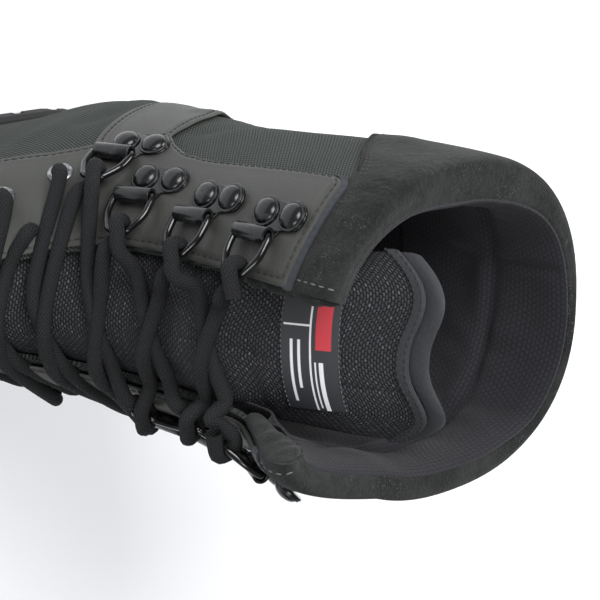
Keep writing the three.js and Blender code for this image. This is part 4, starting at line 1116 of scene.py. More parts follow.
class BOOT_OT_lining(bpy.types.Operator):
    """Knit lining: a padded roll under the collar, a fold, and down the shaft round the foot"""
    bl_idname = "boot.lining"
    bl_label = "Lining"

    def execute(self, context):
        v, _ = around_collar(200)
        edge = collar_inward(v)
        wall = wall_at(RIM)
        ripple = 0.7 * np.sin(v * 41.0) + 0.5 * np.sin(v * 77.0 + 1.0) + 0.3 * np.sin(v * 133.0)
        notch = 1.3 * hump(v - 0.47, 0.007)
        fold = RIM + 1.05 + 0.10 * np.sin(v * 14.0)
        rows = [
            (RIM - 0.07, 1.2 - edge), (RIM - 0.13, -edge + 0.1), (RIM - 0.10, -edge - 1.2),
            (RIM + 0.12, -edge - 3.0 + notch), (RIM + 0.45, -edge - 3.7 + 0.4 * ripple + notch),
            (fold - 0.22, -edge * 0.5 - wall * 0.5 - 3.4 + 0.7 * ripple + notch), (fold, -wall - 0.6),
            (fold + 0.16, -wall - 3.0 - 0.6 * ripple), (fold + 0.5, -wall - 1.6 + 1.0 * ripple + notch),
            (fold + 0.95, -wall * 0.9 - 0.8 - 0.5 * ripple), (RIM + 2.6, -wall * 0.75),
        ]
        points, s, angle = swept(rows, v, 84)
        piece = sheet(points, -outward_normal(s, angle))
        thicken(piece, 0.8 * MM)
        dress(piece, "collar_knit", FINISHES["knit"], sharp=75)
        self.shaft()
        return {"FINISHED"}

    def shaft(self):
        """The lining below the padded roll, down to the insole."""
        patch = Patch(
            start=level(RIM + 2.45), end=level(14.0),
            low=lambda s: edge_angle(s, 1, 1.0), high=lambda s: 2 * math.pi + edge_angle(s, -1, 1.0),
            rows=100, columns=90)
        wrinkle = 0.5 * np.sin(patch.s * 5.0 + 1.2 * np.sin(patch.angle * 3)) * (1 - smooth(patch.s, 5, 7))
        points = patch.points(-(wall_at(patch.s) * 0.8) - 0.3 + wrinkle)
        points[..., 2] = np.maximum(points[..., 2], feather_height(points[..., 1]) + 3.4)
        piece = sheet(points, -patch.outward())
        edit(piece, lambda: bpy.ops.mesh.remove_doubles(threshold=WELD_REACH))
        thicken(piece, 0.8 * MM)
        dress(piece, "shaft_knit", FINISHES["knit"], sharp=70)


class BOOT_OT_collar(bpy.types.Operator):
    """Suede collar: from under the facings over the padded rim to the seam with the knit"""
    bl_idname = "boot.collar"
    bl_label = "Collar"

    def execute(self, context):
        v, lower = around_collar(260)
        edge = collar_inward(v)
        side = np.minimum(v, 1 - v)
        beside = 1 - smooth(side, 0.10, 0.16)
        low = lower - 0.10 * beside
        crown = RIM - 0.16
        pucker = 0.35 * hump(v - 0.128, 0.006) + 0.22 * hump(v - 0.142, 0.006)
        worn = 0.25 * np.sin(v * 61.0) + 0.2 * np.sin(v * 133.0 + 2.0)
        rows = [
            (lower + 0.10 * beside, 0.75), (low, 0.95), (low - 0.10, 1.4), (low - 0.26, 1.9 + 0.4 * worn),
            (RIM + (low - RIM) * 0.42, 2.1 + 0.5 * worn - pucker), (RIM + 0.14, 2.0 - pucker),
            (RIM - 0.07, 1.4 - pucker), (crown, 0.0 - pucker), (crown - 0.03, -edge * 0.32),
            (crown - 0.01, -edge * 0.66), (crown + 0.01, -edge * 0.90), (crown + 0.05, -edge - 0.5),
        ]
        points, s, angle = swept(rows, v, 66)
        piece = sheet(points, outward_normal(s, angle))
        thicken(piece, 1.3 * MM)
        soften(piece, 0.3 * MM, 60)
        dress(piece, "collar_suede", FINISHES["suede"], ("collar_cuff",), sharp=60)
        self.stitches(points, s, angle)
        for name, side in SIDES:
            self.throat_roll(name, side)
        return {"FINISHED"}

    def throat_roll(self, name, side):
        """Rubbed roll of suede that closes the collar's end beside the throat."""
        share = np.linspace(0, 1, 46)
        s = RIM - 0.10 + 1.62 * share
        top = 1.9 - 1.3 * smooth(s, 1.2, 1.7)
        edge = collar_inward(np.array([0.0 if side > 0 else 1.0]))
        deep = edge + 3.4 + (wall_at(s) - edge - 2.6) * smooth(s, RIM + 0.3, RIM + 1.15)
        beyond = 1.5 + 0.35 * np.sin(share * 19.0) * side
        angle = edge_angle(s, side, beyond)
        place = raised(s, angle, (top - deep) / 2)
        end = np.sqrt(np.maximum(0.004, 1 - np.abs(2 * share - 1) ** 9))
        wide = 3.1 + 0.3 * np.sin(share * 31.0)
        depth = (top + deep) / 2
        radius = (depth * wide ** 2) ** (1 / 3) * end
        squeeze = (depth / wide) ** (2 / 3)
        piece = tube(place, radius, sides=26, flat=squeeze, reference=outward_normal(s, angle))
        finish = FINISHES["suede"] if side > 0 else FINISHES["worn_suede"]
        dress(piece, f"collar_end_{name}", finish)

    def stitches(self, points, s, angle):
        """Rows of thread along the throat edges, the lower edge and beside the knit."""
        normals = unit(np.cross(np.gradient(points, axis=0), np.gradient(points, axis=1)))
        outward = outward_normal(s, angle)
        flip = np.where(np.sum(normals[30] * outward[30], axis=-1, keepdims=True) < 0, -1.0, 1.0)
        normals = normals * flip
        travel = step_lengths(points, 1)
        lines = []
        for near in (travel, travel[:, -1:] - travel):
            found = []
            for row in range(10, 46):
                column = int(np.argmin(np.abs(near[row] - 3.2)))
                found.append((points[row, column], normals[row, column]))
            lines.append((np.array([f[0] for f in found]), np.array([f[1] for f in found])))
        seam("collar_throat_stitches", lines, FINISHES["pale_thread"], pitch=2.9, length=2.1)
        middle = slice(38, 222)
        rows = [(points[k, middle] + normals[k, middle] * 0.05, normals[k, middle]) for k in (13, 16)]
        seam("collar_lower_stitches", rows, FINISHES["thread"])


class BOOT_OT_facings(bpy.types.Operator):
    """Leather facings with stitched edges, and the raw edge of the layer under them"""
    bl_idname = "boot.facings"
    bl_label = "Facings"

    def execute(self, context):
        for name, side in SIDES:
            def top(v):
                corner = np.clip((v - 0.88) / 0.12, 0, 1)
                hollow = -0.09 * np.sin(np.clip(v, 0, 1) * math.pi)
                rounded = 0.22 * (1 - np.sqrt(1 - 0.999 * corner ** 2))
                return FACING_TOP + FACING_DROP * v + hollow + rounded

            def foot(v):
                return THROAT_FOOT - 0.75 + 0.9 * (1 - v) + v * 0

            patch = Patch(
                start=top, end=foot, low=lambda s: edge_angle(s, side, 0.9),
                high=lambda s: side * facing_back(s), rows=230, columns=64)
            stitched = ("low", "high", "start")
            leather_panel(f"facing_{name}_leather", patch, SKIN + 0.25, LEATHER, FINISHES["leather"],
                          (f"facing_{name}",), groove=stitched)
            lines = edge_lines(patch, stitched, SEAM_INSETS[:1], SKIN + 0.13 + LEATHER)
            seam(f"facing_{name}_stitches", lines, FINISHES["thread"])
            self.raw_edge(name, side, top)
        return {"FINISHED"}

    def raw_edge(self, name, side, top):
        """The blue-grey cut edge that shows along a facing's top."""
        patch = Patch(
            start=lambda v: top(v) - 0.075, end=lambda v: top(v) + 0.05,
            low=lambda s: edge_angle(s, side, 0.5), high=lambda s: side * (facing_back(s) + 0.012),
            rows=6, columns=90)
        fray = 0.12 * np.sin(np.linspace(0, 90, 91)) * np.linspace(1, 0, 7)[:, None]
        piece = sheet(patch.points(SKIN + 0.25 + LEATHER * 0.78 + fray), patch.outward())
        thicken(piece, 1.2 * MM)
        soften(piece, 0.25 * MM, 55)
        dress(piece, f"facing_{name}_raw_edge", FINISHES["raw_edge"])


class BOOT_OT_bands(bpy.types.Operator):
    """Ankle bands, heel counter and toe cap in the same leather"""
    bl_idname = "boot.bands"
    bl_label = "Bands, counter and toe cap"

    def execute(self, context):
        for name, side in SIDES:
            self.ankle_band(name, side)
        self.counter()
        self.toe_cap()
        return {"FINISHED"}

    def ankle_band(self, name, side):
        """Band from under the facing to the counter, flared where it leaves the facing."""
        end = math.radians(COUNTER_FRONT + 2) if side > 0 else math.radians(ZIP_ANGLE - 15)
        patch = Patch(
            start=lambda v: 5.42 + 0.55 * v - 0.25 * v * (1 - v), end=lambda v: 6.45 + 0.78 * np.sqrt(v),
            low=lambda s: side * (facing_back(s) - math.radians(2.5)), high=level(side * end),
            rows=60, columns=90)
        leather_panel(f"ankle_band_{name}_leather", patch, SKIN, BAND_LEATHER, FINISHES["leather"],
                      (f"ankle_band_{name}",), groove=("start", "end"))
        lines = [patch.line(edge, inset, SKIN + BAND_LEATHER - 0.1)
                 for edge in ("start", "end") for inset in SEAM_INSETS]
        seam(f"ankle_band_{name}_stitches", lines, FINISHES["thread"])

    def counter(self):
        """Heel counter round the back of the heel."""
        def top(v):
            return COUNTER_TOP + 0.9 * (2 * v - 1) ** 2

        patch = Patch(
            start=top, end=level(COUNTER_FOOT + 0.05), low=level(math.radians(COUNTER_FRONT)),
            high=level(math.radians(360 - COUNTER_FRONT)), rows=110, columns=110)
        edges = ("start", "low", "high")
        leather_panel("heel_counter_leather", patch, SKIN + 0.1, LEATHER, FINISHES["leather"],
                      ("heel_counter",), groove=edges)
        lines = edge_lines(patch, edges, SEAM_INSETS, SKIN + LEATHER)
        seam("heel_counter_stitches", lines, FINISHES["thread"])

    def toe_cap(self):
        """Toe cap over the toes, closed at the tip and down to the sole."""
        def back(v):
            return 13.3 + 0.55 * np.abs(2 * v - 1) ** 2.5

        reach = math.radians(104)
        patch = Patch(start=back, end=level(TOE_END), low=level(-reach), high=level(reach), rows=80,
                      columns=110)
        height = SKIN + LEATHER - rolled(patch.edges["start"], 1.2) * 0.55
        away = patch.edges["start"] - SEAM_INSETS[0]
        height = height - 0.28 * hump(away, 0.75)
        points = patch.points(height)
        tip = points[-1]
        centre = (tip[0] + tip[-1]) / 2
        rows = []
        for step in np.linspace(0, 1, 12)[1:]:
            ring = centre + (tip - centre) * math.cos(step * math.pi / 2)
            ring[:, 1] -= 4.0 * math.sin(step * math.pi / 2)
            rows.append(ring)
        points = np.concatenate([points, np.array(rows)])
        points[..., 2] = np.maximum(points[..., 2], feather_height(points[..., 1]) + GAP)
        outward = points - points.mean(axis=(0, 1))
        piece = sheet(points, outward)
        edit(piece, lambda: bpy.ops.mesh.remove_doubles(threshold=WELD_REACH))
        thicken(piece, LEATHER * MM)
        dress(piece, "toe_cap_leather", FINISHES["leather"], ("toe_cap",))
        lines = edge_lines(patch, ("start",), SEAM_INSETS, SKIN + LEATHER - 0.1)
        seam("toe_cap_stitches", lines, FINISHES["thread"])


def tongue_depth(s):
    """Distance from the upper's outside to the tongue's outside."""
    return wall_at(s) + GAP + 0.6


def tongue_place(s, angle, offset):
    """Point on the tongue, which leans into the shaft towards its top."""
    s, angle = np.broadcast_arrays(np.asarray(s, float), np.asarray(angle, float))
    lean = TONGUE_LEAN * (1 - smooth(s, TONGUE_TOP, RIM + 2.6)) ** 1.5
    normal = outward_normal(s, angle, last_point)
    straight = outward_normal(s, angle * 0, last_point)
    offset = np.asarray(offset)[..., None] if np.ndim(offset) else offset
    raised_by = normal * (offset - tongue_depth(s)[..., None])
    return last_point(s, angle) + raised_by - straight * lean[..., None]


def tongue_top(v):
    """Wavy top edge of the tongue over its width."""
    return TONGUE_TOP + 0.1 * np.cos(4 * math.pi * (v - 0.5)) + 0.45 * (2 * v - 1) ** 4


def tongue_half(s):
    """Half width of the tongue, in millimetres."""
    lap = 8.0 + 5.0 * (1 - smooth(s, RIM, RIM + 1.6))
    return throat_half(np.minimum(s, THROAT_FOOT - 0.6)) + lap


def tongue_bulge(s, share):
    """How far the tongue swells through the throat, share from -1 to 1 over its width."""
    middle = np.clip(1 - (share / 0.72) ** 2, 0, 1)
    return 3.4 * middle * smooth(s, RIM + 0.8, RIM + 2.6) * (1 - smooth(s, 9.2, THROAT_FOOT))


class BOOT_OT_tongue(bpy.types.Operator):
    """Padded tongue with a wavy bound top, its seams and its label"""
    bl_idname = "boot.tongue"
    bl_label = "Tongue"

    def patch(self, start, end, rows, columns, narrower=0.0):
        """A stretch of the tongue."""
        return Patch(
            start=start, end=end, low=lambda s: angle_at(s, -tongue_half(s) + narrower),
            high=lambda s: angle_at(s, tongue_half(s) - narrower), rows=rows, columns=columns,
            place=tongue_place)

    def swell(self, patch):
        """Bulge through the throat, quilting at the cross seam and a soft roll at the sides."""
        share = 2 * (patch.edges["low"] / (patch.edges["low"] + patch.edges["high"])) - 1
        seam_at = 0.5 * hump(patch.s - 2.55 - 0.1 * share, 0.06)
        pads = 0.5 * np.sin((patch.s - 2.55) * 1.6) ** 2
        dart = 0.32 * (1 - smooth(patch.s, 1.0, 3.3))
        slack = 0.25 * np.sin(patch.s * 9.0 + share * 4.0) * hump(share + dart, 0.22)
        pulled = 0.75 * hump(share + dart, 0.022) * (1 - smooth(patch.s, 3.6, 3.9)) - slack
        edges = rolled(patch.distance("low", "high"), 2.2)
        return tongue_bulge(patch.s, share) + pads - seam_at - pulled - edges

    def execute(self, context):
        body = self.patch(lambda v: tongue_top(v) + 0.30, level(THROAT_FOOT + 0.35), 170, 84)
        piece = sheet(body.points(self.swell(body)), body.outward())
        thicken(piece, 4.6 * MM)
        soften(piece, 1.0 * MM, 60, 3)
        dress(piece, "tongue_weave", FINISHES["ballistic"], ("tongue",), sharp=70)
        self.binding()
        self.label()
        return {"FINISHED"}

    def binding(self):
        """Two bands of smooth tape round the top edge, the outer one standing past the inner."""
        outer = self.patch(lambda v: tongue_top(v), lambda v: tongue_top(v) + 0.27, 14, 120, 0.3)
        across = outer.edges["start"]
        height = -1.2 - rolled(across, 2.6) * 0.5 + 0.5 * np.sin(np.clip(across / 6.5, 0, 1) * math.pi)
        piece = sheet(outer.points(height), outer.outward())
        thicken(piece, 2.8 * MM)
        soften(piece, 0.8 * MM, 60, 3)
        dress(piece, "tongue_outer_binding", FINISHES["binding"], sharp=70)
        inner = self.patch(lambda v: tongue_top(v) + 0.245, lambda v: tongue_top(v) + 0.44, 10, 120, 0.2)
        height = 0.75 - rolled(inner.distance("start", "end"), 1.3) * 0.8
        piece = sheet(inner.points(height), inner.outward())
        thicken(piece, 1.0 * MM)
        dress(piece, "tongue_inner_binding", FINISHES["binding"], sharp=70)
        lines = [inner.line("end", 1.0, 0.75), inner.line("start", 0.9, 0.72)]
        seam("tongue_binding_stitches", lines, FINISHES["thread"], pitch=2.4, length=1.8)

    def label(self):
        """The satin band that runs across the tongue, with its edge stitches."""
        at = RIM + 0.76
        half = 0.36
        patch = Patch(
            start=level(at - half), end=level(at + half),
            low=lambda s: angle_at(s, 0.97 * THROAT_HALF_TOP),
            high=lambda s: angle_at(s, -0.98 * THROAT_HALF_TOP), rows=12, columns=50, place=tongue_place)
        share = 1 - 2 * patch.edges["low"] / (patch.edges["low"] + patch.edges["high"])
        height = tongue_bulge(patch.s, share * 0.72) + 0.75 + 0.5 * np.sin((patch.s - 2.55) * 1.6) ** 2
        points = patch.points(height)
        piece = sheet(points, patch.outward(), 0.0)
        across = step_lengths(points, 0)
        along = step_lengths(points, 1)
        write_map(piece, (across[-1:] - across) * MM, along * MM)
        thicken(piece, 0.5 * MM)
        dress(piece, "tongue_label_band", FINISHES["label"], ("tongue_label",), sharp=60)
        lines = [patch.line("start", 0.1, height + 0.1), patch.line("end", 0.1, height + 0.1)]
        seam("tongue_label_stitches", lines, FINISHES["pale_thread"], pitch=1.7, length=1.0,
             width=0.45, height=0.4)


class BOOT_OT_rings(bpy.types.Operator):
    """Lacing rings: rolled tube, plate, two domed rivets and a wire loop, each modelled once"""
    bl_idname = "boot.rings"
    bl_label = "Lacing rings"

    def execute(self, context):
        parts = (
            ("tube", self.rolled_tube(), "gunmetal"), ("plate", self.plate(), "enamel"),
            ("rivets", self.rivets(), "gunmetal"), ("loop", self.loop(), "enamel"),
        )
        for name, side in SIDES:
            rings = [place for place in facing_places(side) if place[0] == "ring"]
            for k, (_, s, angle) in enumerate(rings, 1):
                lift = 0.6 if side < 0 and k == 1 else 0.0
                matrix = surface_frame(s, angle, ON_FACING + lift) @ both_sides(side)
                for part, piece, finish in parts:
                    title = f"ring_{part}_{name}_{k}"
                    node = f"ring_loop_{name}_{k}" if part == "loop" else f"ring_plate_{name}_{k}"
                    dress(copy_to(piece, title, matrix), title, FINISHES[finish], (node,),
                          sharp=45)
        for _, piece, _ in parts:
            bpy.data.objects.remove(piece)
        return {"FINISHED"}

    def rolled_tube(self):
        """The tube that the wire turns in."""
        deselect()
        bpy.ops.mesh.primitive_cylinder_add(
            vertices=28, radius=TUBE_DIAMETER / 2, depth=TUBE_LENGTH, end_fill_type="NOTHING",
            location=(0, 0, TUBE_HEIGHT), rotation=(0, math.pi / 2, 0))
        piece = bpy.context.object
        bpy.ops.object.transform_apply(location=True, rotation=True)
        thicken(piece, 0.95)
        soften(piece, 0.16, 50)
        return piece

    def plate(self):
        """The plate under the rivets, with a round ear for each."""
        half = TUBE_LENGTH / 2
        ear = RIVET_DIAMETER / 2 + 0.35
        centres = [(k * RIVET_PITCH + PLATE_SKEW, RIVET_REACH) for k in (0.5, -0.5)]
        outline = [(-half + 0.4, 0.2), (0.0, 0.0), (half - 0.4, 0.2), (half + 1.0, 2.8)]
        for (x, y), first, last in ((centres[0], -50, 128), (centres[1], 52, 232)):
            for turn in np.radians(np.linspace(first, last, 11)):
                outline.append((x + ear * math.cos(turn), y + ear * math.sin(turn)))
        deselect()
        bpy.ops.mesh.primitive_circle_add(vertices=len(outline), radius=1.0, fill_type="NGON")
        piece = bpy.context.object
        for vertex, (x, y) in zip(piece.data.vertices, outline):
            vertex.co = (x, y, 0.05)
        lift = {"value": (0, 0, 0.95)}
        edit(piece, lambda: bpy.ops.mesh.extrude_region_move(TRANSFORM_OT_translate=lift),
             lambda: bpy.ops.mesh.select_all(action="SELECT"),
             lambda: bpy.ops.mesh.normals_make_consistent(inside=False))
        soften(piece, 0.22, 50)
        return piece

    def rivets(self):
        """Two domed rivet heads on their flanges."""
        heads = []
        for k in (-0.5, 0.5):
            place = (k * RIVET_PITCH + PLATE_SKEW, RIVET_REACH)
            deselect()
            bpy.ops.mesh.primitive_uv_sphere_add(segments=28, ring_count=16,
                                                 radius=RIVET_DIAMETER / 2 - 0.7)
            dome = bpy.context.object
            edit(dome, lambda: bpy.ops.transform.resize(value=(1, 1, 0.56)),
                 lambda: bpy.ops.mesh.bisect(plane_co=(0, 0, 0), plane_no=(0, 0, 1), clear_inner=True,
                                             use_fill=True))
            dome.location = (*place, 1.3)
            heads.append(dome)
            deselect()
            bpy.ops.mesh.primitive_cylinder_add(vertices=32, radius=RIVET_DIAMETER / 2, depth=0.8,
                                                location=(*place, 1.2))
            flange = bpy.context.object
            soften(flange, 0.26, 50, 3)
            heads.append(flange)
        deselect()
        for head in heads:
            head.select_set(True)
        bpy.context.view_layer.objects.active = heads[0]
        bpy.ops.object.join()
        piece = bpy.context.object
        bpy.ops.object.transform_apply(location=True, rotation=True)
        return piece

    def loop(self):
        """The wire: straight in the tube, then a round bow."""
        half = TUBE_LENGTH / 2 + 0.5
        bow = LOOP_DEPTH - WIRE_DIAMETER / 2
        right = [(half - 1.2, 0, 0), (half - 0.1, -0.8, 0), (half + 0.1, -2.8, 0.15),
                 (half - 0.3, -bow * 0.55, 0.4), (half - 2.6, -bow * 0.86, 0.7), (half * 0.40, -bow, 0.9)]
        left = [(-x, y, z) for x, y, z in reversed(right)]
        ends = [(-half * 0.4, 0, 0), (half * 0.4, 0, 0)]
        points = np.array([*right, *left, *ends]) + np.array([0, 0, TUBE_HEIGHT])
        ring = np.concatenate([points[-2:], points, points[:2]])
        line = curve_through(ring, 0.8)
        start = int(np.argmin(np.linalg.norm(line[:40] - points[-1], axis=1)))
        stop = len(line) - 40 + int(np.argmin(np.linalg.norm(line[-40:] - points[-1], axis=1)))
        wire = tube(line[start:stop], WIRE_DIAMETER / 2, 12, closed=True)
        edit(wire, lambda: bpy.ops.transform.resize(value=[1 / MM] * 3, center_override=(0, 0, 0)))
        return wire


class BOOT_OT_eyelets(bpy.types.Operator):
    """Rolled eyelets in the facings below the rings"""
    bl_idname = "boot.eyelets"
    bl_label = "Eyelets"

    def execute(self, context):
        deselect()
        bpy.ops.mesh.primitive_torus_add(major_radius=3.35, minor_radius=1.05, major_segments=32,
                                         minor_segments=12)
        eyelet = bpy.context.object
        edit(eyelet, lambda: bpy.ops.transform.resize(value=(1, 1, 0.62)))
        for name, side in SIDES:
            holes = [place for place in facing_places(side) if place[0] == "eyelet"]
            for k, (_, s, angle) in enumerate(holes, 1):
                matrix = surface_frame(s, angle, ON_FACING + 0.25)
                title = f"eyelet_ring_{name}_{k}"
                dress(copy_to(eyelet, title, matrix), title, FINISHES["steel"],
                      (f"eyelet_{name}_{k}",), sharp=80)
        bpy.data.objects.remove(eyelet)
        return {"FINISHED"}


class BOOT_OT_lace(bpy.types.Operator):
    """Round lace: crossings over the tongue, turned round each wire and led through each eyelet"""
    bl_idname = "boot.lace"
    bl_label = "Lace"

    def execute(self, context):
        radius = context.scene.boot_sizes.lace / MM / 2
        places = {side: facing_places(side) for _, side in SIDES}
        lowest = len(places[1]) - 1
        for number, first in enumerate((1, -1)):
            side = first
            route = []
            for k in range(lowest, -1, -1):
                here = places[side][k]
                across = places[-side][k - 1] if k > 0 else None
                route += self.turn(here, side, radius, k)
                if across:
                    route += self.crossing(here, across, side, radius, number, k)
                side = -side
            points = curve_through([p for p, _ in route], 1.1)
            guide = curve_through([n for _, n in route], 1.1)
            guide = self.matched(guide, len(points))
            piece = tube(points, radius, 12, reference=guide)
            nodes = ("lace",) if number == 0 else ()
            dress(piece, f"lace_strand_{number + 1}", FINISHES["cord"], nodes, sharp=80)
        bar = self.foot_bar(places[1][lowest], places[-1][lowest], radius)
        dress(bar, "lace_foot_bar", FINISHES["cord"], sharp=80)
        return {"FINISHED"}

    def matched(self, values, count):
        """Vectors resampled to a count and of length one."""
        at = np.linspace(0, len(values) - 1, count)
        index = np.arange(len(values))
        return unit(np.stack([np.interp(at, index, values[:, k]) for k in range(3)], axis=-1))

    def local(self, place, side, points, lift=0.0):
        """Points given up, towards the throat and outwards from a ring or eyelet, with the normal."""
        _, s, angle = place
        matrix = surface_frame(s, angle, ON_FACING + lift)
        normal = np.array(matrix.col[2][:3])
        return [(np.array((matrix @ Vector((up, -side * inward, out)))[:3]), normal)
                for up, inward, out in points]

    def turn(self, place, side, radius, k):
        """The lace's way round a ring's wire, or up through an eyelet."""
        if place[0] == "ring":
            bow = LOOP_DEPTH - WIRE_DIAMETER / 2
            wire = TUBE_HEIGHT + 0.9
            return self.local(place, side, [
                (-3.4, bow + 7.5, 1.0), (-2.4, bow + 2.5, 0.4), (-1.0, bow - 2.2, 1.0),
                (0.6, bow - 3.4, 4.0), (1.6, bow - 1.0, wire + radius + 1.3),
                (2.6, bow + 2.6, wire + radius - 0.2), (3.6, bow + 7.0, wire - 1.0),
            ])
        reach = EYELET_EDGES[k - len(RING_TRAVEL)]
        under = [(-4.0, reach + 3.0, -2.5), (-3.8, reach - 2.0, -6.2), (-3.0, reach * 0.5, -7.3)]
        if k == len(RING_TRAVEL) + len(EYELET_TRAVEL) - 1:
            under = []
        return self.local(place, side, [
            *under, (-1.0, 2.5, -6.2), (0.0, 0.0, -2.2), (0.2, 0.0, 1.2), (1.0, 2.6, 3.4),
            (2.4, 7.5, 3.2),
        ])

    def crossing(self, here, across, side, radius, number, k):
        """Points over the tongue to the other side; one strand lies over the other in the middle."""
        _, s, angle = here
        _, far_s, far_angle = across
        found = []
        for share in (0.30, 0.42, 0.5, 0.58, 0.70):
            at = s + (far_s - s) * share
            turn = angle + (far_angle - angle) * share
            over = math.exp(-((share - 0.5) / 0.10) ** 2) * 1.7 * radius * ((number + k + 1) % 2)
            middle = 1 - abs(2 * share - 1)
            sunk = 2.4 * float(smooth(share, 0.5, 0.75)) if across[0] == "eyelet" else 0.0
            height = 3.6 - 1.6 * middle + over - sunk
            normal = outward_normal(at, turn)
            found.append((surface_point(at, turn) + normal * height, normal))
        return found

    def foot_bar(self, left, right, radius):
        """The straight bar between the lowest eyelets, under the first crossings."""
        route = self.local(left, 1, [(0, 0, -2.6), (-0.6, 0.6, 1.6), (-1.2, 4.0, 2.7)])
        for share in (0.35, 0.5, 0.65):
            at = left[1] + (right[1] - left[1]) * share
            turn = left[2] + (right[2] - left[2]) * share
            normal = outward_normal(at, turn)
            route.append((surface_point(at, turn) + normal * 3.4, normal))
        route += self.local(right, -1, [(-1.2, 4.0, 2.7), (-0.6, 0.6, 1.6), (0, 0, -2.6)])
        return tube(curve_through([p for p, _ in route], 1.1), radius, 12)


class BOOT_OT_zip(bpy.types.Operator):
    """Side zip: woven tape, two rows of teeth, slider and pull tab"""
    bl_idname = "boot.zip"
    bl_label = "Side zip"

    def zip_angle(self, s):
        """Angle of the zip's middle."""
        return -np.radians(ZIP_ANGLE - 8 * smooth(s, 4, ZIP_FOOT))

    def execute(self, context):
        def wide(s, distance):
            step = math.radians(2)
            middle = self.zip_angle(s)
            run = surface_point(s, middle + step) - surface_point(s, middle - step)
            return distance * 2 * step / np.linalg.norm(run, axis=-1)

        patch = Patch(
            start=level(ZIP_TOP - 0.5), end=level(ZIP_FOOT),
            low=lambda s: self.zip_angle(s) - wide(s, 10.0),
            high=lambda s: self.zip_angle(s) + wide(s, 10.0), rows=120, columns=20)
        piece = sheet(patch.points(SKIN + 0.55), patch.outward())
        thicken(piece, 0.7 * MM)
        dress(piece, "zip_tape_woven", FINISHES["binding"], ("zip_tape",))
        lines = [patch.line(edge, 2.0, SKIN + 0.6) for edge in ("low", "high")]
        seam("zip_tape_stitches", lines, FINISHES["thread"])
        self.teeth()
        self.metal()
        return {"FINISHED"}

    def teeth(self):
        """Two rows of small moulded teeth that mesh along the middle."""
        track = np.linspace(ZIP_TOP + 0.1, ZIP_FOOT - 0.1, 400)
        middle = self.zip_angle(track)
        points = surface_point(track, middle)
        normals = outward_normal(track, middle)
        spots, along, upward = resampled(points + normals * 2.2, normals, 1.9)
        deselect()
        bpy.ops.mesh.primitive_cube_add(size=1.0)
        tooth = bpy.context.object
        edit(tooth, lambda: bpy.ops.transform.resize(value=(3.4, 1.5, 1.15)),
             lambda: bpy.ops.mesh.bevel(offset=0.28, segments=2))
        shape = template(tooth)
        frames = []
        for k, (spot, direction, normal) in enumerate(zip(spots, along, upward)):
            side = np.cross(normal, direction)
            frames.append((spot + side * (1.25 if k % 2 else -1.25), direction, normal))
        piece = copies("zip_teeth", shape, frames)
        dress(piece, "zip_teeth", FINISHES["enamel"], ("zip_chain",), sharp=40)

    def metal(self):
        """Slider and pull tab: the solids' own forms, edges softened."""
        for node, body in (("zip_slider", BODY), ("zip_pull", PULL_BODY)):
            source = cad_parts[node]
            mesh = source.data.copy()
            mesh.transform(source.matrix_world)
            piece = linked(f"{node}_enamel", mesh)
            edit(piece, lambda: bpy.ops.mesh.remove_doubles(threshold=WELD_REACH / 2),
                 lambda: bpy.ops.mesh.dissolve_limited(angle_limit=math.radians(2)))
            soften(piece, 0.35 * MM, 40)
            dress(piece, f"{node}_enamel", FINISHES["enamel"], (node,), body=body, sharp=35)


class BOOT_OT_sole(bpy.types.Operator):
    """Sole: rubber, foam and knit finishes on the solids"""
    bl_idname = "boot.sole"
    bl_label = "Sole"

    def execute(self, context):
        finishes = (("outsole", "rubber"), ("midsole", "foam"), ("insole", "knit"))
        for node, finish in finishes:
            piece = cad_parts[node]
            piece.data.materials.clear()
            piece.data.materials.append(FINISHES[finish])
        return {"FINISHED"}


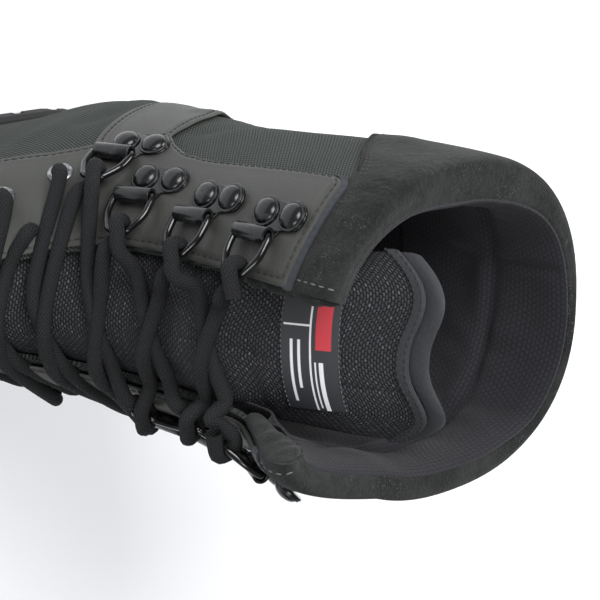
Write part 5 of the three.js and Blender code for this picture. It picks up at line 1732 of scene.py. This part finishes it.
class BOOT_OT_stage(bpy.types.Operator):
    """Pale floor, soft light and the camera at the photograph's angle"""
    bl_idname = "boot.stage"
    bl_label = "Stage"

    def execute(self, context):
        deselect()
        bpy.ops.mesh.primitive_plane_add(size=8.0, location=(0, 0, 0))
        floor = bpy.context.object
        floor.name = "floor"
        floor.data.materials.append(floor_finish(tuple(context.scene.boot_colours.floor)))
        world = bpy.data.worlds.new("studio")
        world.use_nodes = True
        world.node_tree.nodes["Background"].inputs["Color"].default_value = (0.95, 0.97, 1.0, 1)
        world.node_tree.nodes["Background"].inputs["Strength"].default_value = 0.30
        context.scene.world = world
        context.scene.view_settings.view_transform = "Standard"
        key = context.scene.boot_sizes.key_light
        self.light("key", (-0.85, -0.25, 1.15), 0.8, key)
        self.light("fill", (0.35, -1.0, 1.3), 0.7, key * 0.45)
        self.light("rim", (-0.25, 0.85, 0.9), 0.5, key * 0.5)
        self.camera(context)
        return {"FINISHED"}

    def light(self, name, place, size, power):
        """A square soft light that faces the collar."""
        data = bpy.data.lights.new(name, "AREA")
        data.size = size
        data.energy = power
        lamp = linked(name, data)
        lamp.location = place
        aim = Vector((0, -0.02, 0.2)) - lamp.location
        lamp.rotation_euler = aim.to_track_quat("-Z", "Y").to_euler()

    def camera(self, context):
        """Camera over the toe, looking down at the collar, rolled as the photograph is."""
        place = Vector((-0.185990, -0.401490, 0.620158))
        azimuth, elevation, roll, focal = 0.446214, -0.804967, 1.893427, 1875.441
        forward = Vector((math.cos(elevation) * math.sin(azimuth), math.cos(elevation) * math.cos(azimuth),
                          math.sin(elevation)))
        sideways = forward.cross(Vector((0, 0, 1))).normalized()
        over = sideways.cross(forward)
        right = math.cos(roll) * sideways + math.sin(roll) * over
        up = -math.sin(roll) * sideways + math.cos(roll) * over
        data = bpy.data.cameras.new("photo_camera")
        data.sensor_width = 36.0
        data.lens = focal / 600 * 36.0
        camera = linked("photo_camera", data)
        turn = Matrix((right, up, -forward)).transposed().to_4x4()
        camera.matrix_world = Matrix.Translation(place) @ turn
        context.scene.camera = camera


class BOOT_PT_panel(bpy.types.Panel):
    """The boot's pieces, sizes and colours"""
    bl_label = "Tactical boot"
    bl_idname = "BOOT_PT_panel"
    bl_space_type = "VIEW_3D"
    bl_region_type = "UI"
    bl_category = "Boot"

    def draw(self, context):
        layout = self.layout
        for operator in OPERATORS:
            layout.operator(operator.bl_idname)
        for group in (context.scene.boot_sizes, context.scene.boot_colours):
            for name in group.__annotations__:
                layout.prop(group, name)


OPERATORS = (
    BOOT_OT_stage, BOOT_OT_sole, BOOT_OT_upper, BOOT_OT_lining, BOOT_OT_collar, BOOT_OT_facings,
    BOOT_OT_bands, BOOT_OT_tongue, BOOT_OT_rings, BOOT_OT_eyelets, BOOT_OT_lace, BOOT_OT_zip,
)
CLASSES = (BootColours, BootSizes, *OPERATORS, BOOT_PT_panel)


def register():
    """Registers the classes and the boot's settings."""
    for item in CLASSES:
        bpy.utils.register_class(item)
    bpy.types.Scene.boot_colours = PointerProperty(type=BootColours)
    bpy.types.Scene.boot_sizes = PointerProperty(type=BootSizes)


def unregister():
    """Removes the classes and the boot's settings."""
    del bpy.types.Scene.boot_sizes
    del bpy.types.Scene.boot_colours
    for item in reversed(CLASSES):
        bpy.utils.unregister_class(item)


def main():
    """Registers the add-on and makes the whole boot."""
    register()
    make_finishes(bpy.context.scene.boot_colours)
    for operator in (
        bpy.ops.boot.stage, bpy.ops.boot.sole, bpy.ops.boot.upper, bpy.ops.boot.lining,
        bpy.ops.boot.collar, bpy.ops.boot.facings, bpy.ops.boot.bands, bpy.ops.boot.tongue,
        bpy.ops.boot.rings, bpy.ops.boot.eyelets, bpy.ops.boot.lace, bpy.ops.boot.zip,
    ):
        operator()


if __name__ == "__main__":
    main()
